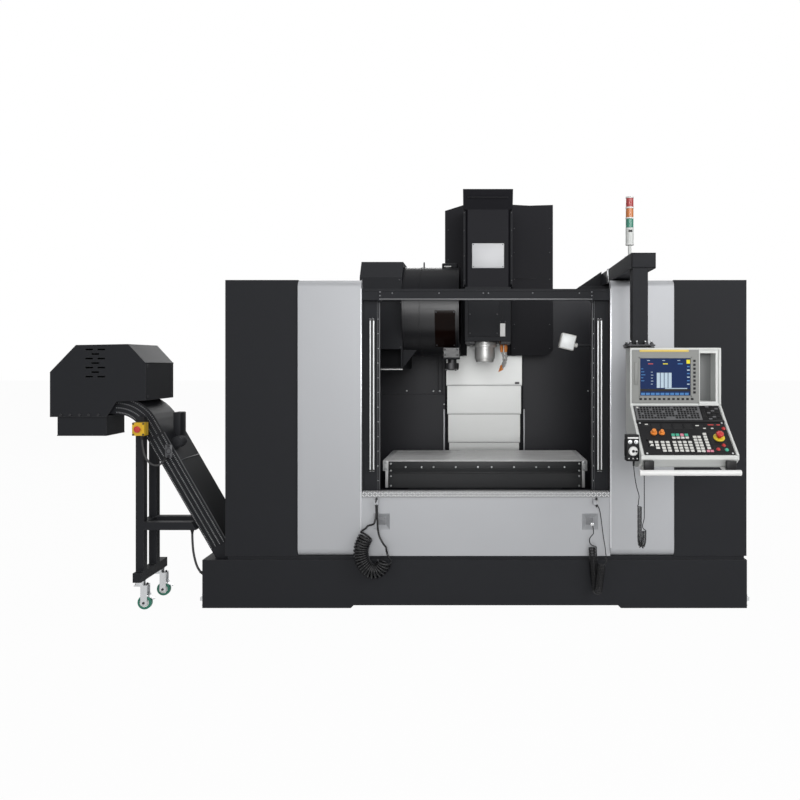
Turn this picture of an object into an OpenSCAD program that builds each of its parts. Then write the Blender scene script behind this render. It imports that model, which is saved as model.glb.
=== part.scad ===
// Vertical machining centre with an open-fronted enclosure and a chip conveyor at its left.
// X runs across the machine from the spindle, Y back from the cabinets' front, Z up from the floor.

/* [Enclosure] */
// Half of the width over the two side cabinets
cabinet_x = 1668; // [1600:1:1760]
// Seam between a side cabinet and its silver front cover, from the middle
cover_outer_x = 1201; // [1120:1:1280]
// Inner edge of a silver front cover, from the middle
cover_inner_x = 796; // [770:1:830]
// Top of the enclosure above the floor
enclosure_z = 2112; // [2080:1:2200]
// Depth of the enclosure, front to back
enclosure_y = 2250; // [2150:1:2400]
// Depth of a folded sheet panel
panel_t = 40; // [30:1:48]
// How far the silver covers stand out in front of the cabinets
cover_proud = 14; // [8:1:24]
// Rounding along the top and bottom of the silver covers
cover_round = 48; // [20:1:52]

/* [Base] */
// Top of the base above the floor
base_z = 320; // [280:1:360]
// Depth of the base, front to back
base_y = 2440; // [2400:1:2600]
// How far the base runs out past the left cabinet, under the conveyor
base_ext = 147; // [120:1:180]
// Height of the recessed lip that carries the cabinets
lip_h = 26; // [15:1:40]
// How far that lip is set in
lip_in = 12; // [6:1:25]
// Where the base's feet end, from the middle
foot_x = 846; // [700:1:1000]
// Clearance under the base between its feet
foot_gap = 18; // [10:1:30]
// Thickness of a levelling pad under the base
pad_h = 12; // [8:1:20]

/* [Front] */
// Top of the silver apron below the doors
apron_z = 750; // [700:1:790]
// Side of a square cable recess in the apron
recess_s = 104; // [80:1:130]
// Height of the recesses' middle above the floor
recess_z = 565; // [520:1:600]
// Distance of the recesses from the middle
recess_x = 667; // [620:1:700]
// Thickness of the chequered tread plate
tread_t = 7; // [4:1:10]
// Height of the tread plate's front lip
tread_lip = 34; // [25:1:50]
// Height of the door rail over the opening
rail_h = 62; // [50:1:75]
// Underside of that rail
rail_z = 1994; // [1940:1:2010]
// Depth of the door rails
rail_d = 60; // [55:1:70]

/* [Doors] */
// Half of the clear opening with the doors slid apart
opening_x = 686; // [660:1:700]
// Width of one door leaf
leaf_w = 830; // [815:1:870]
// Thickness of a door leaf
leaf_t = 34; // [25:1:40]
// Width of the leading stile that carries the handle
stile_w = 117; // [90:1:140]
// Width of the other members round the window
frame_w = 70; // [50:1:100]
// Bottom of the window in a door
window_z = 1080; // [1000:1:1200]
// Thickness of the window pane
pane_t = 10; // [6:1:14]
// Width of the handle bar
handle_w = 28; // [24:1:40]
// Length of the handle bar
handle_l = 980; // [700:1:1050]
// Middle height of the handle bar
handle_z = 1374; // [1330:1:1400]

/* [Table] */
// Length of the table
table_l = 1400; // [1200:1:1440]
// Width of the table
table_w = 650; // [560:1:660]
// Thickness of the table plate
table_t = 90; // [70:1:110]
// Height of the table's face above the floor
table_z = 873; // [850:1:900]
// Width of a T-slot's neck
slot_w = 18; // [12:1:22]
// Spacing of the T-slots
slot_pitch = 125; // [90:1:140]
// Number of T-slots
slot_count = 5; // [3:2:5]
// Drop of the dark skirt below the table plate
skirt_h = 108; // [80:1:112]
// Half of the saddle's travel along Y
y_travel = 325; // [280:1:330]
// Length of the pale guard block at each end of the table
end_block = 38; // [25:1:60]

/* [Column and head] */
// Spindle axis behind the cabinets' front plane
spindle_y = 975; // [950:1:990]
// Spindle nose above the floor
nose_z = 1587; // [1560:1:1610]
// Width of the spindle head
head_w = 340; // [300:1:346]
// Front of the spindle head
head_y = 759; // [740:1:780]
// Underside of the spindle head
head_z = 1742; // [1725:1:1760]
// Height of the head casting
head_h = 400; // [340:1:460]
// Width of the cover over the spindle motor
motor_cover_w = 366; // [350:1:374]
// Top of the cover over the spindle motor
motor_cover_z = 2850; // [2780:1:2880]
// Front face of the plates behind the head, in front of the Z-way cover
guard_lead = 76; // [56:1:80]
// Left edge of those plates, from the middle
guard_left = 331; // [310:1:345]
// Right edge of those plates, from the middle
guard_right = 572; // [500:1:620]
// Top of those plates
guard_z = 2916; // [2880:1:2960]
// Width of the column
column_w = 880; // [800:1:940]
// Top of the column
column_z = 2600; // [2560:1:2680]
// Front face of the column, behind the Z-way cover
way_depth = 124; // [119:1:150]
// Depth of the column's foot
column_d = 630; // [560:1:640]
// Height of a linear guide rail
guide_h = 70; // [60:1:74]

/* [Z-way cover] */
// Width of the widest, uppermost cover plate
zcover_w = 645; // [600:1:660]
// Bottom edge of the uppermost plate with the head at rest
zcover_z = 1383; // [1360:1:1400]
// Step from one plate's bottom edge to the next
zcover_pitch = 243; // [225:1:250]
// Thickness of a cover plate
zcover_t = 3; // [2:0.5:4]

/* [Tool magazine] */
// Radius of the magazine's hood
hood_r = 350; // [320:1:355]
// Height of the magazine's axis
hood_z = 1985; // [1970:1:2000]
// Depth position of the magazine's axis
hood_y = 1190; // [1180:1:1195]
// Right end of the hood, left of the spindle
hood_right = 195; // [190:1:200]
// Length of the hood along its axis
hood_l = 432; // [400:1:470]
// Wall of the hood
hood_t = 14; // [8:1:20]
// Number of tool pockets on the disc
pocket_count = 24; // [16:1:26]
// Radius of the circle of tool pockets
pocket_pcr = 272; // [255:1:275]
// Distance from the spindle axis to the change arm's axis
arm_x = 250; // [240:1:260]

/* [Pendant] */
// Height of the arm's underside
arm_z = 2123; // [2120:1:2160]
// Height of the hollow arm's section
arm_h = 89; // [70:1:110]
// Width of the hollow arm's section
arm_w = 140; // [120:1:160]
// Pivot of the arm behind the cabinets' front
pivot_y = 500; // [450:1:560]
// Swivel axis of the pendant in front of the cabinets
post_y = 480; // [460:1:500]
// Swivel axis of the pendant right of the spindle
post_x = 879; // [860:1:890]
// Width of the square post
post_w = 86; // [80:1:120]
// Left side of the pendant's case
case_x = 815; // [812:1:822]
// Width of the pendant's case
case_w = 518; // [480:1:560]
// Top of the pendant's case
case_z = 1667; // [1640:1:1690]
// Height of the screen part of the case
case_h = 327; // [300:1:340]
// Thickness of the screen part of the case
case_d = 120; // [100:1:130]
// Radius of the handle bar under the keyboard tray
bar_r = 15; // [10:1:18]
// Radius of the stack light
stack_r = 24; // [18:1:30]

/* [Chip conveyor] */
// How far the conveyor's hood reaches out from the side cabinet
conveyor_reach = 1122; // [1080:1:1180]
// Width of the conveyor's channel
channel_w = 340; // [280:1:360]
// Depth of the conveyor's channel, square to the belt
channel_h = 116; // [100:1:130]
// Width of the hood over the discharge end
discharge_w = 445; // [430:1:480]
// Radius of a caster wheel
caster_r = 45; // [35:1:50]
// Height of the belt where it tips the chips out
discharge_z = 1308; // [1290:1:1330]

/* [Clearance] */
// Running clearance between sliding pieces
run_gap = 0.4; // [0.3:0.1:0.8]

/* [Hidden] */
$fn = 48;

charcoal = [0.15, 0.155, 0.165];
black = [0.05, 0.05, 0.055];
silver = [0.68, 0.69, 0.71];
pale = [0.81, 0.82, 0.81];
steel = [0.75, 0.76, 0.77];
green = [0.1, 0.45, 0.32];

// The Z-way cover clears the table at the end of its travel, and the head and column follow it
zcover_y = spindle_y + table_w / 2 + y_travel + 11;
guard_y = zcover_y - guard_lead;
column_y = zcover_y + way_depth;

// Floor of the enclosure, sill under the doors, and the door leaves between their rails
cab_z = base_z + lip_h;
sill_z = apron_z + tread_t;
leaf_y = panel_t + (rail_d - leaf_t) / 2;
leaf_z0 = sill_z + run_gap;
leaf_z1 = rail_z - run_gap;
rail_x = opening_x + leaf_w + 24;
sill_h = 56;
pane_x0 = opening_x + stile_w;
pane_x1 = opening_x + leaf_w - frame_w;
pane_z1 = leaf_z1 - frame_w;
handle_in = 45;
handle_x = opening_x + handle_in;
handle_d = 14;
handle_stand = 26;
hook_w = 34;
hook_x = 700;
hook_d = 32;
hook_h = 42;
hook_t = 8;
hook_z1 = sill_z - tread_lip - 2;
inner_wall_t = 28;
wall_top = enclosure_z + 60;
wall_y = column_y - 2 - inner_wall_t;
wall_gap_x = zcover_w / 2 + 14;

// Ends of the base, with the ears and bolts that level it
base_x0 = -(cabinet_x + base_ext);
base_x1 = cabinet_x + 3;
ear_w = 34;
ear_h = 22;
jack_r = 9;
jack_h = 110;
pad_r = 60;
pad_in = 160;

// Bed, saddle and table, one above the other
bed_w = 840;
bed_y = 250;
bed_z = cab_z + 194;
bed_rail_z = bed_z + 40;
bed_rail_x = 300;
saddle_l = 1120;
saddle_t = 88;
saddle_z = bed_rail_z + run_gap;
table_y0 = spindle_y - table_w / 2;
plate_z = table_z - table_t;
rail_under = 38;
table_rail_y = 200;
end_block_h = 74;
slot_head_w = 1.7 * slot_w;

// Head, guard plates and column
carriage_y1 = column_y - guide_h - run_gap;
guard_t = 40;
guard_deep = 80;
guard_bottom = head_z - 102;
carriage_h = head_h + 160;
shoulder_x = 320;
shoulder_z = column_z - 220;
head_shift = 22;
carriage_w = 600;
lean_z = motor_cover_z - 137;
lean = 70;
cover_bevel = 34;
guide_x = 220;
guide_w = 56;
nose_r = 77;
flange_r = 94;
flange_h = 40;
taper_r = 22.2;
taper_l = 60;

// Telescopic plates: each lower one is a step narrower and a step further back
zcover_step = 8;
zcover_back = zcover_t + run_gap;
zcover_lap = 40;
zcover_side = 14;

// Tool magazine, with the change arm's gearbox under it
hood_x1 = -hood_right;
hood_x0 = hood_x1 - hood_l;
gearbox_z = nose_z + 25;
arm_t = 46;
arm_top = nose_z - 8;
drive_w = 321;
drive_y = 900;
drive_up = 372;
drive_mid = 75;
drive_down = 455;
drive_step = 30;
drive_bevel = [90, 127];
drive_wall = 12;
pocket_deep = 300;
pocket_z = [15, 155];
window_low_z = hood_z - 270;
window_w = 130;
window_h = 247;

// Work light's joint at the end of its bent rod
light_at = [620, panel_t + rail_d + 75, 1695];
light_r = 9;

// Pendant: side profile of its case, from the screen down to the keyboard and the panel
face_y = -(post_y + 60);
back_y = face_y + case_d;
screen_z = case_z - case_h;
key_slope = [100, 87];
key_y = face_y - key_slope[0];
key_z = screen_z - key_slope[1];
tray_slope = [210, 163];
tray_y = key_y - tray_slope[0];
tray_z = key_z - tray_slope[1];
tray_lip = 64;
tray_bottom = tray_z - tray_lip;
tray_deep = 150;
lip_edge = 20;
lip_back = 70;
case_x1 = case_x + case_w;
bar_y = tray_y - 45;
bar_z = tray_bottom - 19;
flange_w = 150;
flange_t = 8;
hub_h = 3;
beam_x = 654;
gusset_in = 66;
arm_lead = 9;
arm_cx = post_x + (arm_w - post_w) / 2 - arm_lead;
panel_tilt = atan2(key_z - tray_z, key_y - tray_y);
stop_at = [case_x + 442, (key_y + tray_y) / 2, (key_z + tray_z) / 2];
dial_at = [case_x + 95, key_y - 75, key_z - 75 * tan(panel_tilt)];
plate_t = 5;
seat_gap = 0.01;
bracket_w = 50;
wheel_box = [66, 60, 140];
wheel_x = case_x - wheel_box[0];
wheel_y = tray_y + 90;
wheel_z = tray_bottom + 29;
stack_x = arm_cx - arm_w / 2 + 34;
stack_y = -300;
stack_z = arm_z + arm_h;

// Conveyor: a level run in the base, a slope, and a level end under the hood
slope = 60;
bend_r = 240;
run_z = 60;
channel_y = 56;
low_z = run_z + channel_h / 2;
chute_end_x = cabinet_x + conveyor_reach;
spout_l = 400;
up_x = -(chute_end_x - spout_l);
slope_l = (discharge_z - low_z - 2 * bend_r * (1 - cos(slope))) / sin(slope);
low_x = up_x + 2 * bend_r * sin(slope) + slope_l * cos(slope);
run_x = -700;
belt_over = 160;
belt_end = up_x - belt_over;
hood_rise = 394;
hood_top = discharge_z + hood_rise;
hood_len = 612;
hood_sink = 73;
hood_floor = discharge_z - hood_sink;
hood_side_h = 288;
hood_slant = 166;
hood_flat = 500;
hood_fall = 6;
hood_drop = 121;
hood_open_h = 105;
hood_neck = 426;
hood_mouth = 359;
neck_step = 6;
post_s = 52;
stand_in = 173;
stand_x = up_x + stand_in;
foot_z = 185;
foot_h = 60;
stand_deep = 144;
stand_rear_y = channel_y + stand_deep;
brace_l = 340;
brace_z = foot_z + 325;
brace_h = 50;
foot_over = 60;
caster_y = [20, 315];
trail = 28;
axle_r = 6;
axle_gap = 0.05;
chute_w = 314;
chute_d = 250;
chute_h = 120;
chute_in = 43;
hanger = [40, 20];
chute_y = 10;
louvre_l = 50;
louvre_h = 10;
louvre_in = 226;
louvre_pitch = [77, 29];
louvre_shift = 38;
louvre_down = 40;
sheet = 8;
rib_t = 10;
rib_h = 10;
rib_start = 190;
rib_short = 85;
ribs_at = [-52, -22, 8, 38];
gear_motor_r = 34;
gear_motor_l = 90;
gear_motor_in = 40;
gear_motor_down = 190;
stop_at_conveyor = [stand_x + 16, channel_y - post_s, hood_floor - 74];
stop_d = 60;

// Electrical cabinet at the back of the right side
ebox_x0 = 700;
ebox_x1 = cabinet_x - 8;
ebox_d = 350;
ebox_z0 = cab_z + 74;
ebox_z1 = enclosure_z - 32;
edoor_t = 24;
edoor_y = enclosure_y + ebox_d + run_gap;
ebox_t = 20;

// Middle of the part's plan, which the origin sits under
mid_x = (base_x1 + ear_w - chute_end_x) / 2;
mid_y = (bar_y - bar_r + edoor_y + edoor_t) / 2;

// Hoses and cords: hand-chosen points, with the outer radius at each
hose_r = 6;
wash_coil = 48;
wash_path = [[-700, -24, 679], [-698, -26, 620], [-708, -40, 565], [-723, -62, 525], [-752, -64, 492],
    [-776, -66, 448], [-790, -66, 392], [-777, -66, 323], [-733, -66, 272], [-682, -66, 272],
    [-644, -66, 317], [-641, -66, 375], [-630, -60, 410], [-656, -40, 440], [-684, -30, 500],
    [-692, -26, 600], [-694, -24, 679]];
wash_r = [for (i = [0:len(wash_path) - 1]) i < 3 || i > 11 ? hose_r : wash_coil];
air_coil = 27;
air_path = [[681, 10, 548], [681, -24, 540], [682, -46, 505], [676, -46, 456], [680, -46, 336],
    [689, -50, 209], [697, -64, 150], [706, -84, 160], [714, -98, 241], [733, -98, 355], [752, -90, 385],
    [742, -50, 494], [726, -28, 633], [708, -24, 679]];
air_r = [for (i = [0:len(air_path) - 1]) i < 3 || i > 9 ? hose_r : air_coil];
cord_coil = 13;
cord_r = 3.5;
cord_path = [[798, -730, 1055], [800, -730, 1000], [812, -728, 920], [828, -726, 860], [831, -726, 820],
    [831, -726, 700], [832, -726, 610], [843, -726, 580], [855, -726, 612], [856, -726, 690],
    [857, -726, 740], [857, -726, 860], [857, -726, 1017]];
cable_r = 7;
stop_cable = [for (p = [[30, -26, -115], [32, -26, -170], [44, -24, -240], [70, -16, -290], [104, 2, -310],
    [130, 24, -300], [150, 46, -270]]) p + [stand_x, 0, hood_floor]];
conduit = [for (p = [[-75, 30, 510], [-74, 30, 440], [-67, 30, 360], [-49, 30, 285], [-25, 30, 240],
    [0, 30, 226]]) p + [base_x0, 0, 0]];
cord_radii = [for (i = [0:len(cord_path) - 1]) i < 4 || i > 9 ? cord_r : cord_coil];

function unit(v) = v / norm(v);
function tangent(p, i) = unit(p[min(i + 1, len(p) - 1)] - p[max(i - 1, 0)]);
function ring(p, i, r, n) = let (t = tangent(p, i), a = unit(cross(t, [0, 1, 0])), b = cross(a, t))
    [for (k = [0:n - 1]) p[i] + r * (cos(360 * k / n) * a + sin(360 * k / n) * b)];
function arc(c, r, a0, a1, n) = [for (i = [0:n]) let (a = a0 + (a1 - a0) * i / n) c + r * [cos(a), sin(a)]];
function reverse(v) = [for (i = [len(v) - 1:-1:0]) v[i]];

// One edge of the conveyor's band, a distance o above the middle of its belt
function belt_edge(o) = concat([[run_x, low_z + o]],
    arc([low_x, low_z + bend_r], bend_r - o, 270, 270 - slope, 8),
    arc([up_x, discharge_z - bend_r], bend_r + o, 90 - slope, 90, 8),
    [[belt_end, discharge_z + o]]);
function on_belt(t, o) = [low_x - bend_r * sin(slope), low_z + bend_r * (1 - cos(slope))]
    + t * [-cos(slope), sin(slope)] + o * [sin(slope), cos(slope)];
function belt_band(o0, o1) = concat(belt_edge(o1), reverse(belt_edge(o0)));

// A plate of thickness t lying on the slope from a down to b
function on_slope(a, b, t, margin) = let (d = unit(b - a), n = [d[1], -d[0]],
        p = a + margin * d + seat_gap * n,
        q = b - margin * d + seat_gap * n)
    [p, q, q + t * n, p + t * n];

module block(x, y, z) translate([x[0], y[0], z[0]]) cube([x[1] - x[0], y[1] - y[0], z[1] - z[0]]);
module along_x(x, profile) translate([x[0], 0, 0]) rotate([90, 0, 90])
    linear_extrude(x[1] - x[0]) polygon(profile);
module along_y(y, profile) translate([0, y[1], 0]) rotate([90, 0, 0])
    linear_extrude(y[1] - y[0]) polygon(profile);
module rod_x(x, y, z, r) translate([x[0], y, z]) rotate([0, 90, 0]) cylinder(r = r, h = x[1] - x[0]);
module rod_y(x, y, z, r) translate([x, y[0], z]) rotate([-90, 0, 0]) cylinder(r = r, h = y[1] - y[0]);
module rod_z(x, y, z, r) translate([x, y, z[0]]) cylinder(r = r, h = z[1] - z[0]);
module both_sides() {
    children();
    mirror([1, 0, 0]) children();
}
module place() translate([-mid_x, -mid_y, 0]) children();
module swept(p, r, n = 8) {
    m = len(p);
    sides = [for (i = [0:m - 2], k = [0:n - 1])
        [i * n + k, i * n + (k + 1) % n, (i + 1) * n + (k + 1) % n, (i + 1) * n + k]];
    start = [for (k = [n - 1:-1:0]) k];
    end = [for (k = [0:n - 1]) (m - 1) * n + k];
    polyhedron([for (i = [0:m - 1]) each ring(p, i, r[i], n)], concat(sides, [start, end]));
}
module on_panel(at) translate(at) rotate([panel_tilt, 0, 0]) children();

// Steel base with bevelled feet, a lip for the cabinets and a trough for the conveyor
module base() color(charcoal) difference() {
    union() {
        along_y([0, base_y], [[base_x0, pad_h], [-foot_x - foot_gap, pad_h], [-foot_x, pad_h + foot_gap],
            [foot_x, pad_h + foot_gap], [foot_x + foot_gap, pad_h], [base_x1, pad_h], [base_x1, base_z],
            [base_x0, base_z]]);
        block([-cabinet_x + lip_in, cabinet_x - lip_in], [lip_in, base_y - lip_in], [base_z, cab_z]);
    }
    along_y([channel_y - 1, channel_y + channel_w + 1], belt_band(-channel_h / 2, channel_h / 2 + 6));
    block([low_x, run_x], [channel_y - 1, channel_y + channel_w + 1], [low_z, cab_z + 1]);
}

// Pads under the base, and jack bolts in ears at its four corners
module levelling_jacks() color(steel) {
    for (x = [base_x0 + pad_in, base_x1 - pad_in], y = [pad_in, base_y / 2, base_y - pad_in])
        rod_z(x, y, [0, pad_h], pad_r);
    for (y = [90, base_y - 90]) {
        jack_ear(base_x1, 1, y);
        jack_ear(base_x0, -1, y);
    }
}
module jack_ear(x, side, y) translate([x, y, 0]) {
    block(side > 0 ? [0, ear_w] : [-ear_w, 0], [-35, 35], [pad_h + 30, pad_h + 30 + ear_h]);
    rod_z(side * (ear_w / 2), 0, [0, jack_h], jack_r);
    rod_z(side * (ear_w / 2), 0, [0, pad_h / 2], ear_w / 2);
}

// Folded side cabinets, open towards the work space
module side_cabinets() color(charcoal) {
    difference() {
        mirror([1, 0, 0]) cabinet();
        along_y([channel_y - 4, channel_y + channel_w + 4],
            belt_band(-channel_h / 2 - 4, channel_h / 2 + 6));
    }
    cabinet();
}
module cabinet() difference() {
    block([cover_outer_x, cabinet_x], [0, enclosure_y], [cab_z, enclosure_z]);
    block([cover_outer_x - 1, cabinet_x - panel_t], [panel_t, enclosure_y - panel_t],
        [cab_z - 1, enclosure_z - panel_t]);
}

// Silver front covers, rolled over along their top and bottom
module front_covers() color(silver) both_sides()
    along_x([cover_inner_x, cover_outer_x], concat([[panel_t, cab_z]],
        reverse(arc([cover_round - cover_proud, cab_z + cover_round], cover_round, 180, 270, 8)),
        reverse(arc([cover_round - cover_proud, enclosure_z - cover_round], cover_round, 90, 180, 8)),
        [[panel_t, enclosure_z]]));

// Silver apron with two square recesses and the hooks for the guns
module front_apron() color(silver) {
    difference() {
        block([-cover_inner_x, cover_inner_x], [0, panel_t], [cab_z, apron_z]);
        both_sides() hull() {
            block([recess_x - recess_s / 2, recess_x + recess_s / 2], [-1, 0],
                [recess_z - recess_s / 2, recess_z + recess_s / 2]);
            block([recess_x - recess_s / 4, recess_x + recess_s / 4], [-1, panel_t * 0.6],
                [recess_z - recess_s / 4, recess_z + recess_s / 4]);
        }
    }
    both_sides() translate([0, 0, hook_z1]) along_x([hook_x - hook_w / 2, hook_x + hook_w / 2], [[0, 0],
        [-hook_t, 0], [-hook_t, hook_t - hook_h], [hook_t - hook_d, hook_t - hook_h],
        [hook_t - hook_d, -12], [-hook_d, -12], [-hook_d, -hook_h], [0, -hook_h]]);
}

// Chequered plate folded over the apron's top edge
module tread_plate() color(silver) along_x([-cover_inner_x, cover_inner_x], [[panel_t, apron_z],
    [panel_t, sill_z], [-cover_proud, sill_z], [-cover_proud, sill_z - tread_lip],
    [tread_t - cover_proud, sill_z - tread_lip], [tread_t - cover_proud, apron_z]]);

// Rail over the doors with its front cover and the work light's bent rod, and the sill rail under them
module door_rails() color(charcoal) {
    block([-rail_x, rail_x], [panel_t, panel_t + rail_d], [rail_z, rail_z + rail_h]);
    block([-cover_inner_x, cover_inner_x], [panel_t - 30, panel_t], [rail_z - 10, rail_z + rail_h]);
    block([-rail_x, rail_x], [panel_t, panel_t + rail_d], [sill_z - sill_h, sill_z]);
    rod_x([light_at[0] - 12 + run_gap, light_at[0] + 109], light_at[1], light_at[2], light_r);
    rod_z(light_at[0] + 100, light_at[1], [light_at[2], rail_z + 40], light_r);
    block([light_at[0] + 85, light_at[0] + 115], [panel_t + rail_d, light_at[1] + 12],
        [rail_z + 20, rail_z + 50]);
}

// Panels that close the work space at the back, on both sides of the column
module inner_walls() color(charcoal) both_sides() {
    block([wall_gap_x, cabinet_x - panel_t], [wall_y, wall_y + inner_wall_t],
        [cab_z, enclosure_z - panel_t]);
    block([wall_gap_x, cover_outer_x - 1], [wall_y, wall_y + inner_wall_t], [cab_z, wall_top]);
}

// Sliding door leaf, its pane and its handle, drawn for the right side
module leaf() difference() {
    block([opening_x, opening_x + leaf_w], [leaf_y, leaf_y + leaf_t], [leaf_z0, leaf_z1]);
    block([pane_x0, pane_x1], [leaf_y - 1, leaf_y + leaf_t + 1], [window_z, pane_z1]);
}
module pane() block([pane_x0, pane_x1], [leaf_y + (leaf_t - pane_t) / 2, leaf_y + (leaf_t + pane_t) / 2],
    [window_z, pane_z1]);
module handle() {
    bar_y0 = leaf_y - handle_stand - handle_d;
    difference() {
        block([handle_x - handle_w / 2, handle_x + handle_w / 2], [bar_y0, bar_y0 + handle_d],
            [handle_z - handle_l / 2, handle_z + handle_l / 2]);
        block([handle_x - handle_w / 8, handle_x + handle_w / 8], [bar_y0 - 1, bar_y0 + handle_d / 2],
            [handle_z - handle_l / 2 - 1, handle_z + handle_l / 2 + 1]);
    }
    for (s = [-1, 1])
        rod_y(handle_x, [bar_y0 + handle_d, leaf_y], handle_z + s * (handle_l / 2 - 60), handle_w / 4);
}
module left_door() color(charcoal) mirror([1, 0, 0]) leaf();
module left_door_pane() color([0.6, 0.65, 0.68, 0.4]) mirror([1, 0, 0]) pane();
module left_door_handle() color(steel) mirror([1, 0, 0]) handle();
module right_door() color(charcoal) leaf();
module right_door_pane() color([0.6, 0.65, 0.68, 0.4]) pane();
module right_door_handle() color(steel) handle();

// Cast bed with the two Y guide rails
module bed() color(silver) {
    block([-bed_w / 2, bed_w / 2], [bed_y, wall_y], [cab_z, bed_z]);
    both_sides() block([bed_rail_x - 28, bed_rail_x + 28], [bed_y + 20, zcover_y - 8], [bed_z, bed_rail_z]);
}

// Saddle with the four carriages that the table's rails run in
module saddle() color(charcoal) {
    block([-saddle_l / 2, saddle_l / 2], [table_y0 + 5, table_y0 + table_w - 5],
        [saddle_z, saddle_z + saddle_t]);
    both_sides() for (y = [-table_rail_y, table_rail_y])
        block([saddle_l / 2 - 260, saddle_l / 2 - 60], [spindle_y + y - 45, spindle_y + y + 45],
            [saddle_z + saddle_t, plate_z - rail_under - run_gap]);
}

// Table plate with T-slots along X and two rails underneath
module table() color(steel) {
    difference() {
        block([-table_l / 2, table_l / 2], [table_y0, table_y0 + table_w], [plate_z, table_z]);
        for (i = [0:slot_count - 1])
            translate([0, spindle_y + (i - (slot_count - 1) / 2) * slot_pitch, table_z]) {
                block([-table_l, table_l], [-slot_w / 2, slot_w / 2], [-slot_head_w, 1]);
                block([-table_l, table_l], [-slot_head_w / 2, slot_head_w / 2], [-slot_head_w, -slot_w]);
            }
    }
    for (y = [-table_rail_y, table_rail_y])
        block([-table_l / 2 + 10, table_l / 2 - 10], [spindle_y + y - 22, spindle_y + y + 22],
            [plate_z - rail_under, plate_z]);
}

// Dark skirt under the table's long edges, with pale guard blocks at its ends
module table_skirt() color(charcoal) {
    for (y = [table_y0, table_y0 + table_w - 24])
        block([-table_l / 2, table_l / 2], [y, y + 24], [plate_z - skirt_h, plate_z]);
    both_sides() block([table_l / 2, table_l / 2 + end_block], [table_y0, table_y0 + table_w],
        [table_z - end_block_h, table_z - 2]);
}

// Column casting that leans in towards its top, with the two Z guide rails and the screw's motor on top
module column() color(charcoal) {
    difference() {
        along_x([-column_w / 2, column_w / 2], [[column_y, cab_z], [column_y + column_d, cab_z],
            [column_y + column_d, cab_z + 560], [column_y + column_d - 200, column_z], [column_y, column_z]]);
        both_sides() block([shoulder_x, column_w / 2 + 1], [column_y - 1, column_y + column_d + 1],
            [shoulder_z, column_z + 1]);
    }
    both_sides() block([guide_x - guide_w / 2, guide_x + guide_w / 2], [column_y - guide_h, column_y],
        [cab_z + 330, column_z - 40]);
    block([-90, 90], [column_y + 40, column_y + 220], [column_z, column_z + 20]);
    rod_z(0, column_y + 130, [column_z + 20, column_z + 200], 80);
    rod_z(0, column_y + 130, [column_z + 200, column_z + 232], 62);
}

// Head casting with a panel let into its front, and the carriage plate that rides on the Z rails
module spindle_head() color(charcoal) difference() {
    union() {
        block([head_shift - head_w / 2, head_shift + head_w / 2], [head_y, carriage_y1],
            [head_z, head_z + head_h]);
        block([-carriage_w / 2, carriage_w / 2], [guard_y + guard_t, carriage_y1],
            [head_z, head_z + carriage_h]);
    }
    rod_z(0, spindle_y, [head_z - 1, head_z + taper_l + 60], nose_r - 12 + run_gap);
    block([head_shift - head_w / 2 + 22, head_shift + head_w / 2 - 60], [head_y - 1, head_y + 2],
        [head_z + 30, head_z + head_h - 30]);
}

// Cover over the spindle motor, bevelled at its front corners and leaning forward at its top
module motor_cover() color(charcoal) translate([head_shift, 0, 0]) {
    w = motor_cover_w / 2;
    z0 = head_z + head_h;
    linear_extrude_at(z0, lean_z) polygon([[-w, guard_y], [-w, head_y + cover_bevel],
        [cover_bevel - w, head_y], [w - cover_bevel, head_y], [w, head_y + cover_bevel], [w, guard_y]]);
    along_x([-w, w], [[guard_y, lean_z], [guard_y, motor_cover_z], [head_y - lean, motor_cover_z],
        [head_y, lean_z]]);
    both_sides() block([w - 6, w], [head_y, head_y + cover_bevel], [z0, lean_z]);
}
module linear_extrude_at(z0, z1) translate([0, 0, z0]) linear_extrude(z1 - z0) children();

// Guard plates behind the head: a plain one at the left, a deep box at the right
module head_guard() color(charcoal) difference() {
    box_x = head_shift + motor_cover_w / 2 + 20;
    union() {
        along_y([guard_y, guard_y + guard_t], [[-guard_left, guard_bottom], [-guard_left, guard_z - 54],
            [head_shift - motor_cover_w / 2, guard_z], [head_shift + motor_cover_w / 2, guard_z],
            [guard_right, guard_z - 20], [guard_right, guard_bottom + 46], [guard_right - 60, guard_bottom]]);
        along_y([guard_y - guard_deep, guard_y], [[box_x, guard_bottom], [box_x, guard_z - 30],
            [guard_right, guard_z - 20],
            [guard_right, guard_bottom + 46], [guard_right - 60, guard_bottom]]);
    }
    block([head_shift - head_w / 2, head_shift + head_w / 2], [guard_y - 1, guard_y + guard_t + 1],
        [guard_bottom - 1, head_z + head_h]);
}

// Spindle: cartridge, flange and nose, bored for the tool shank
module spindle() color(steel) difference() {
    union() {
        rod_z(0, spindle_y, [head_z, head_z + taper_l + 50], nose_r - 12);
        rod_z(0, spindle_y, [head_z - flange_h, head_z - run_gap], flange_r);
        rod_z(0, spindle_y, [nose_z + 22, head_z - flange_h], nose_r);
        rod_z(0, spindle_y, [nose_z, nose_z + 22], nose_r - 9);
        rod_z(0, spindle_y, [head_z - run_gap, head_z], nose_r - 12);
    }
    rod_z(0, spindle_y, [nose_z - 1, nose_z + taper_l], taper_r);
}

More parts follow.
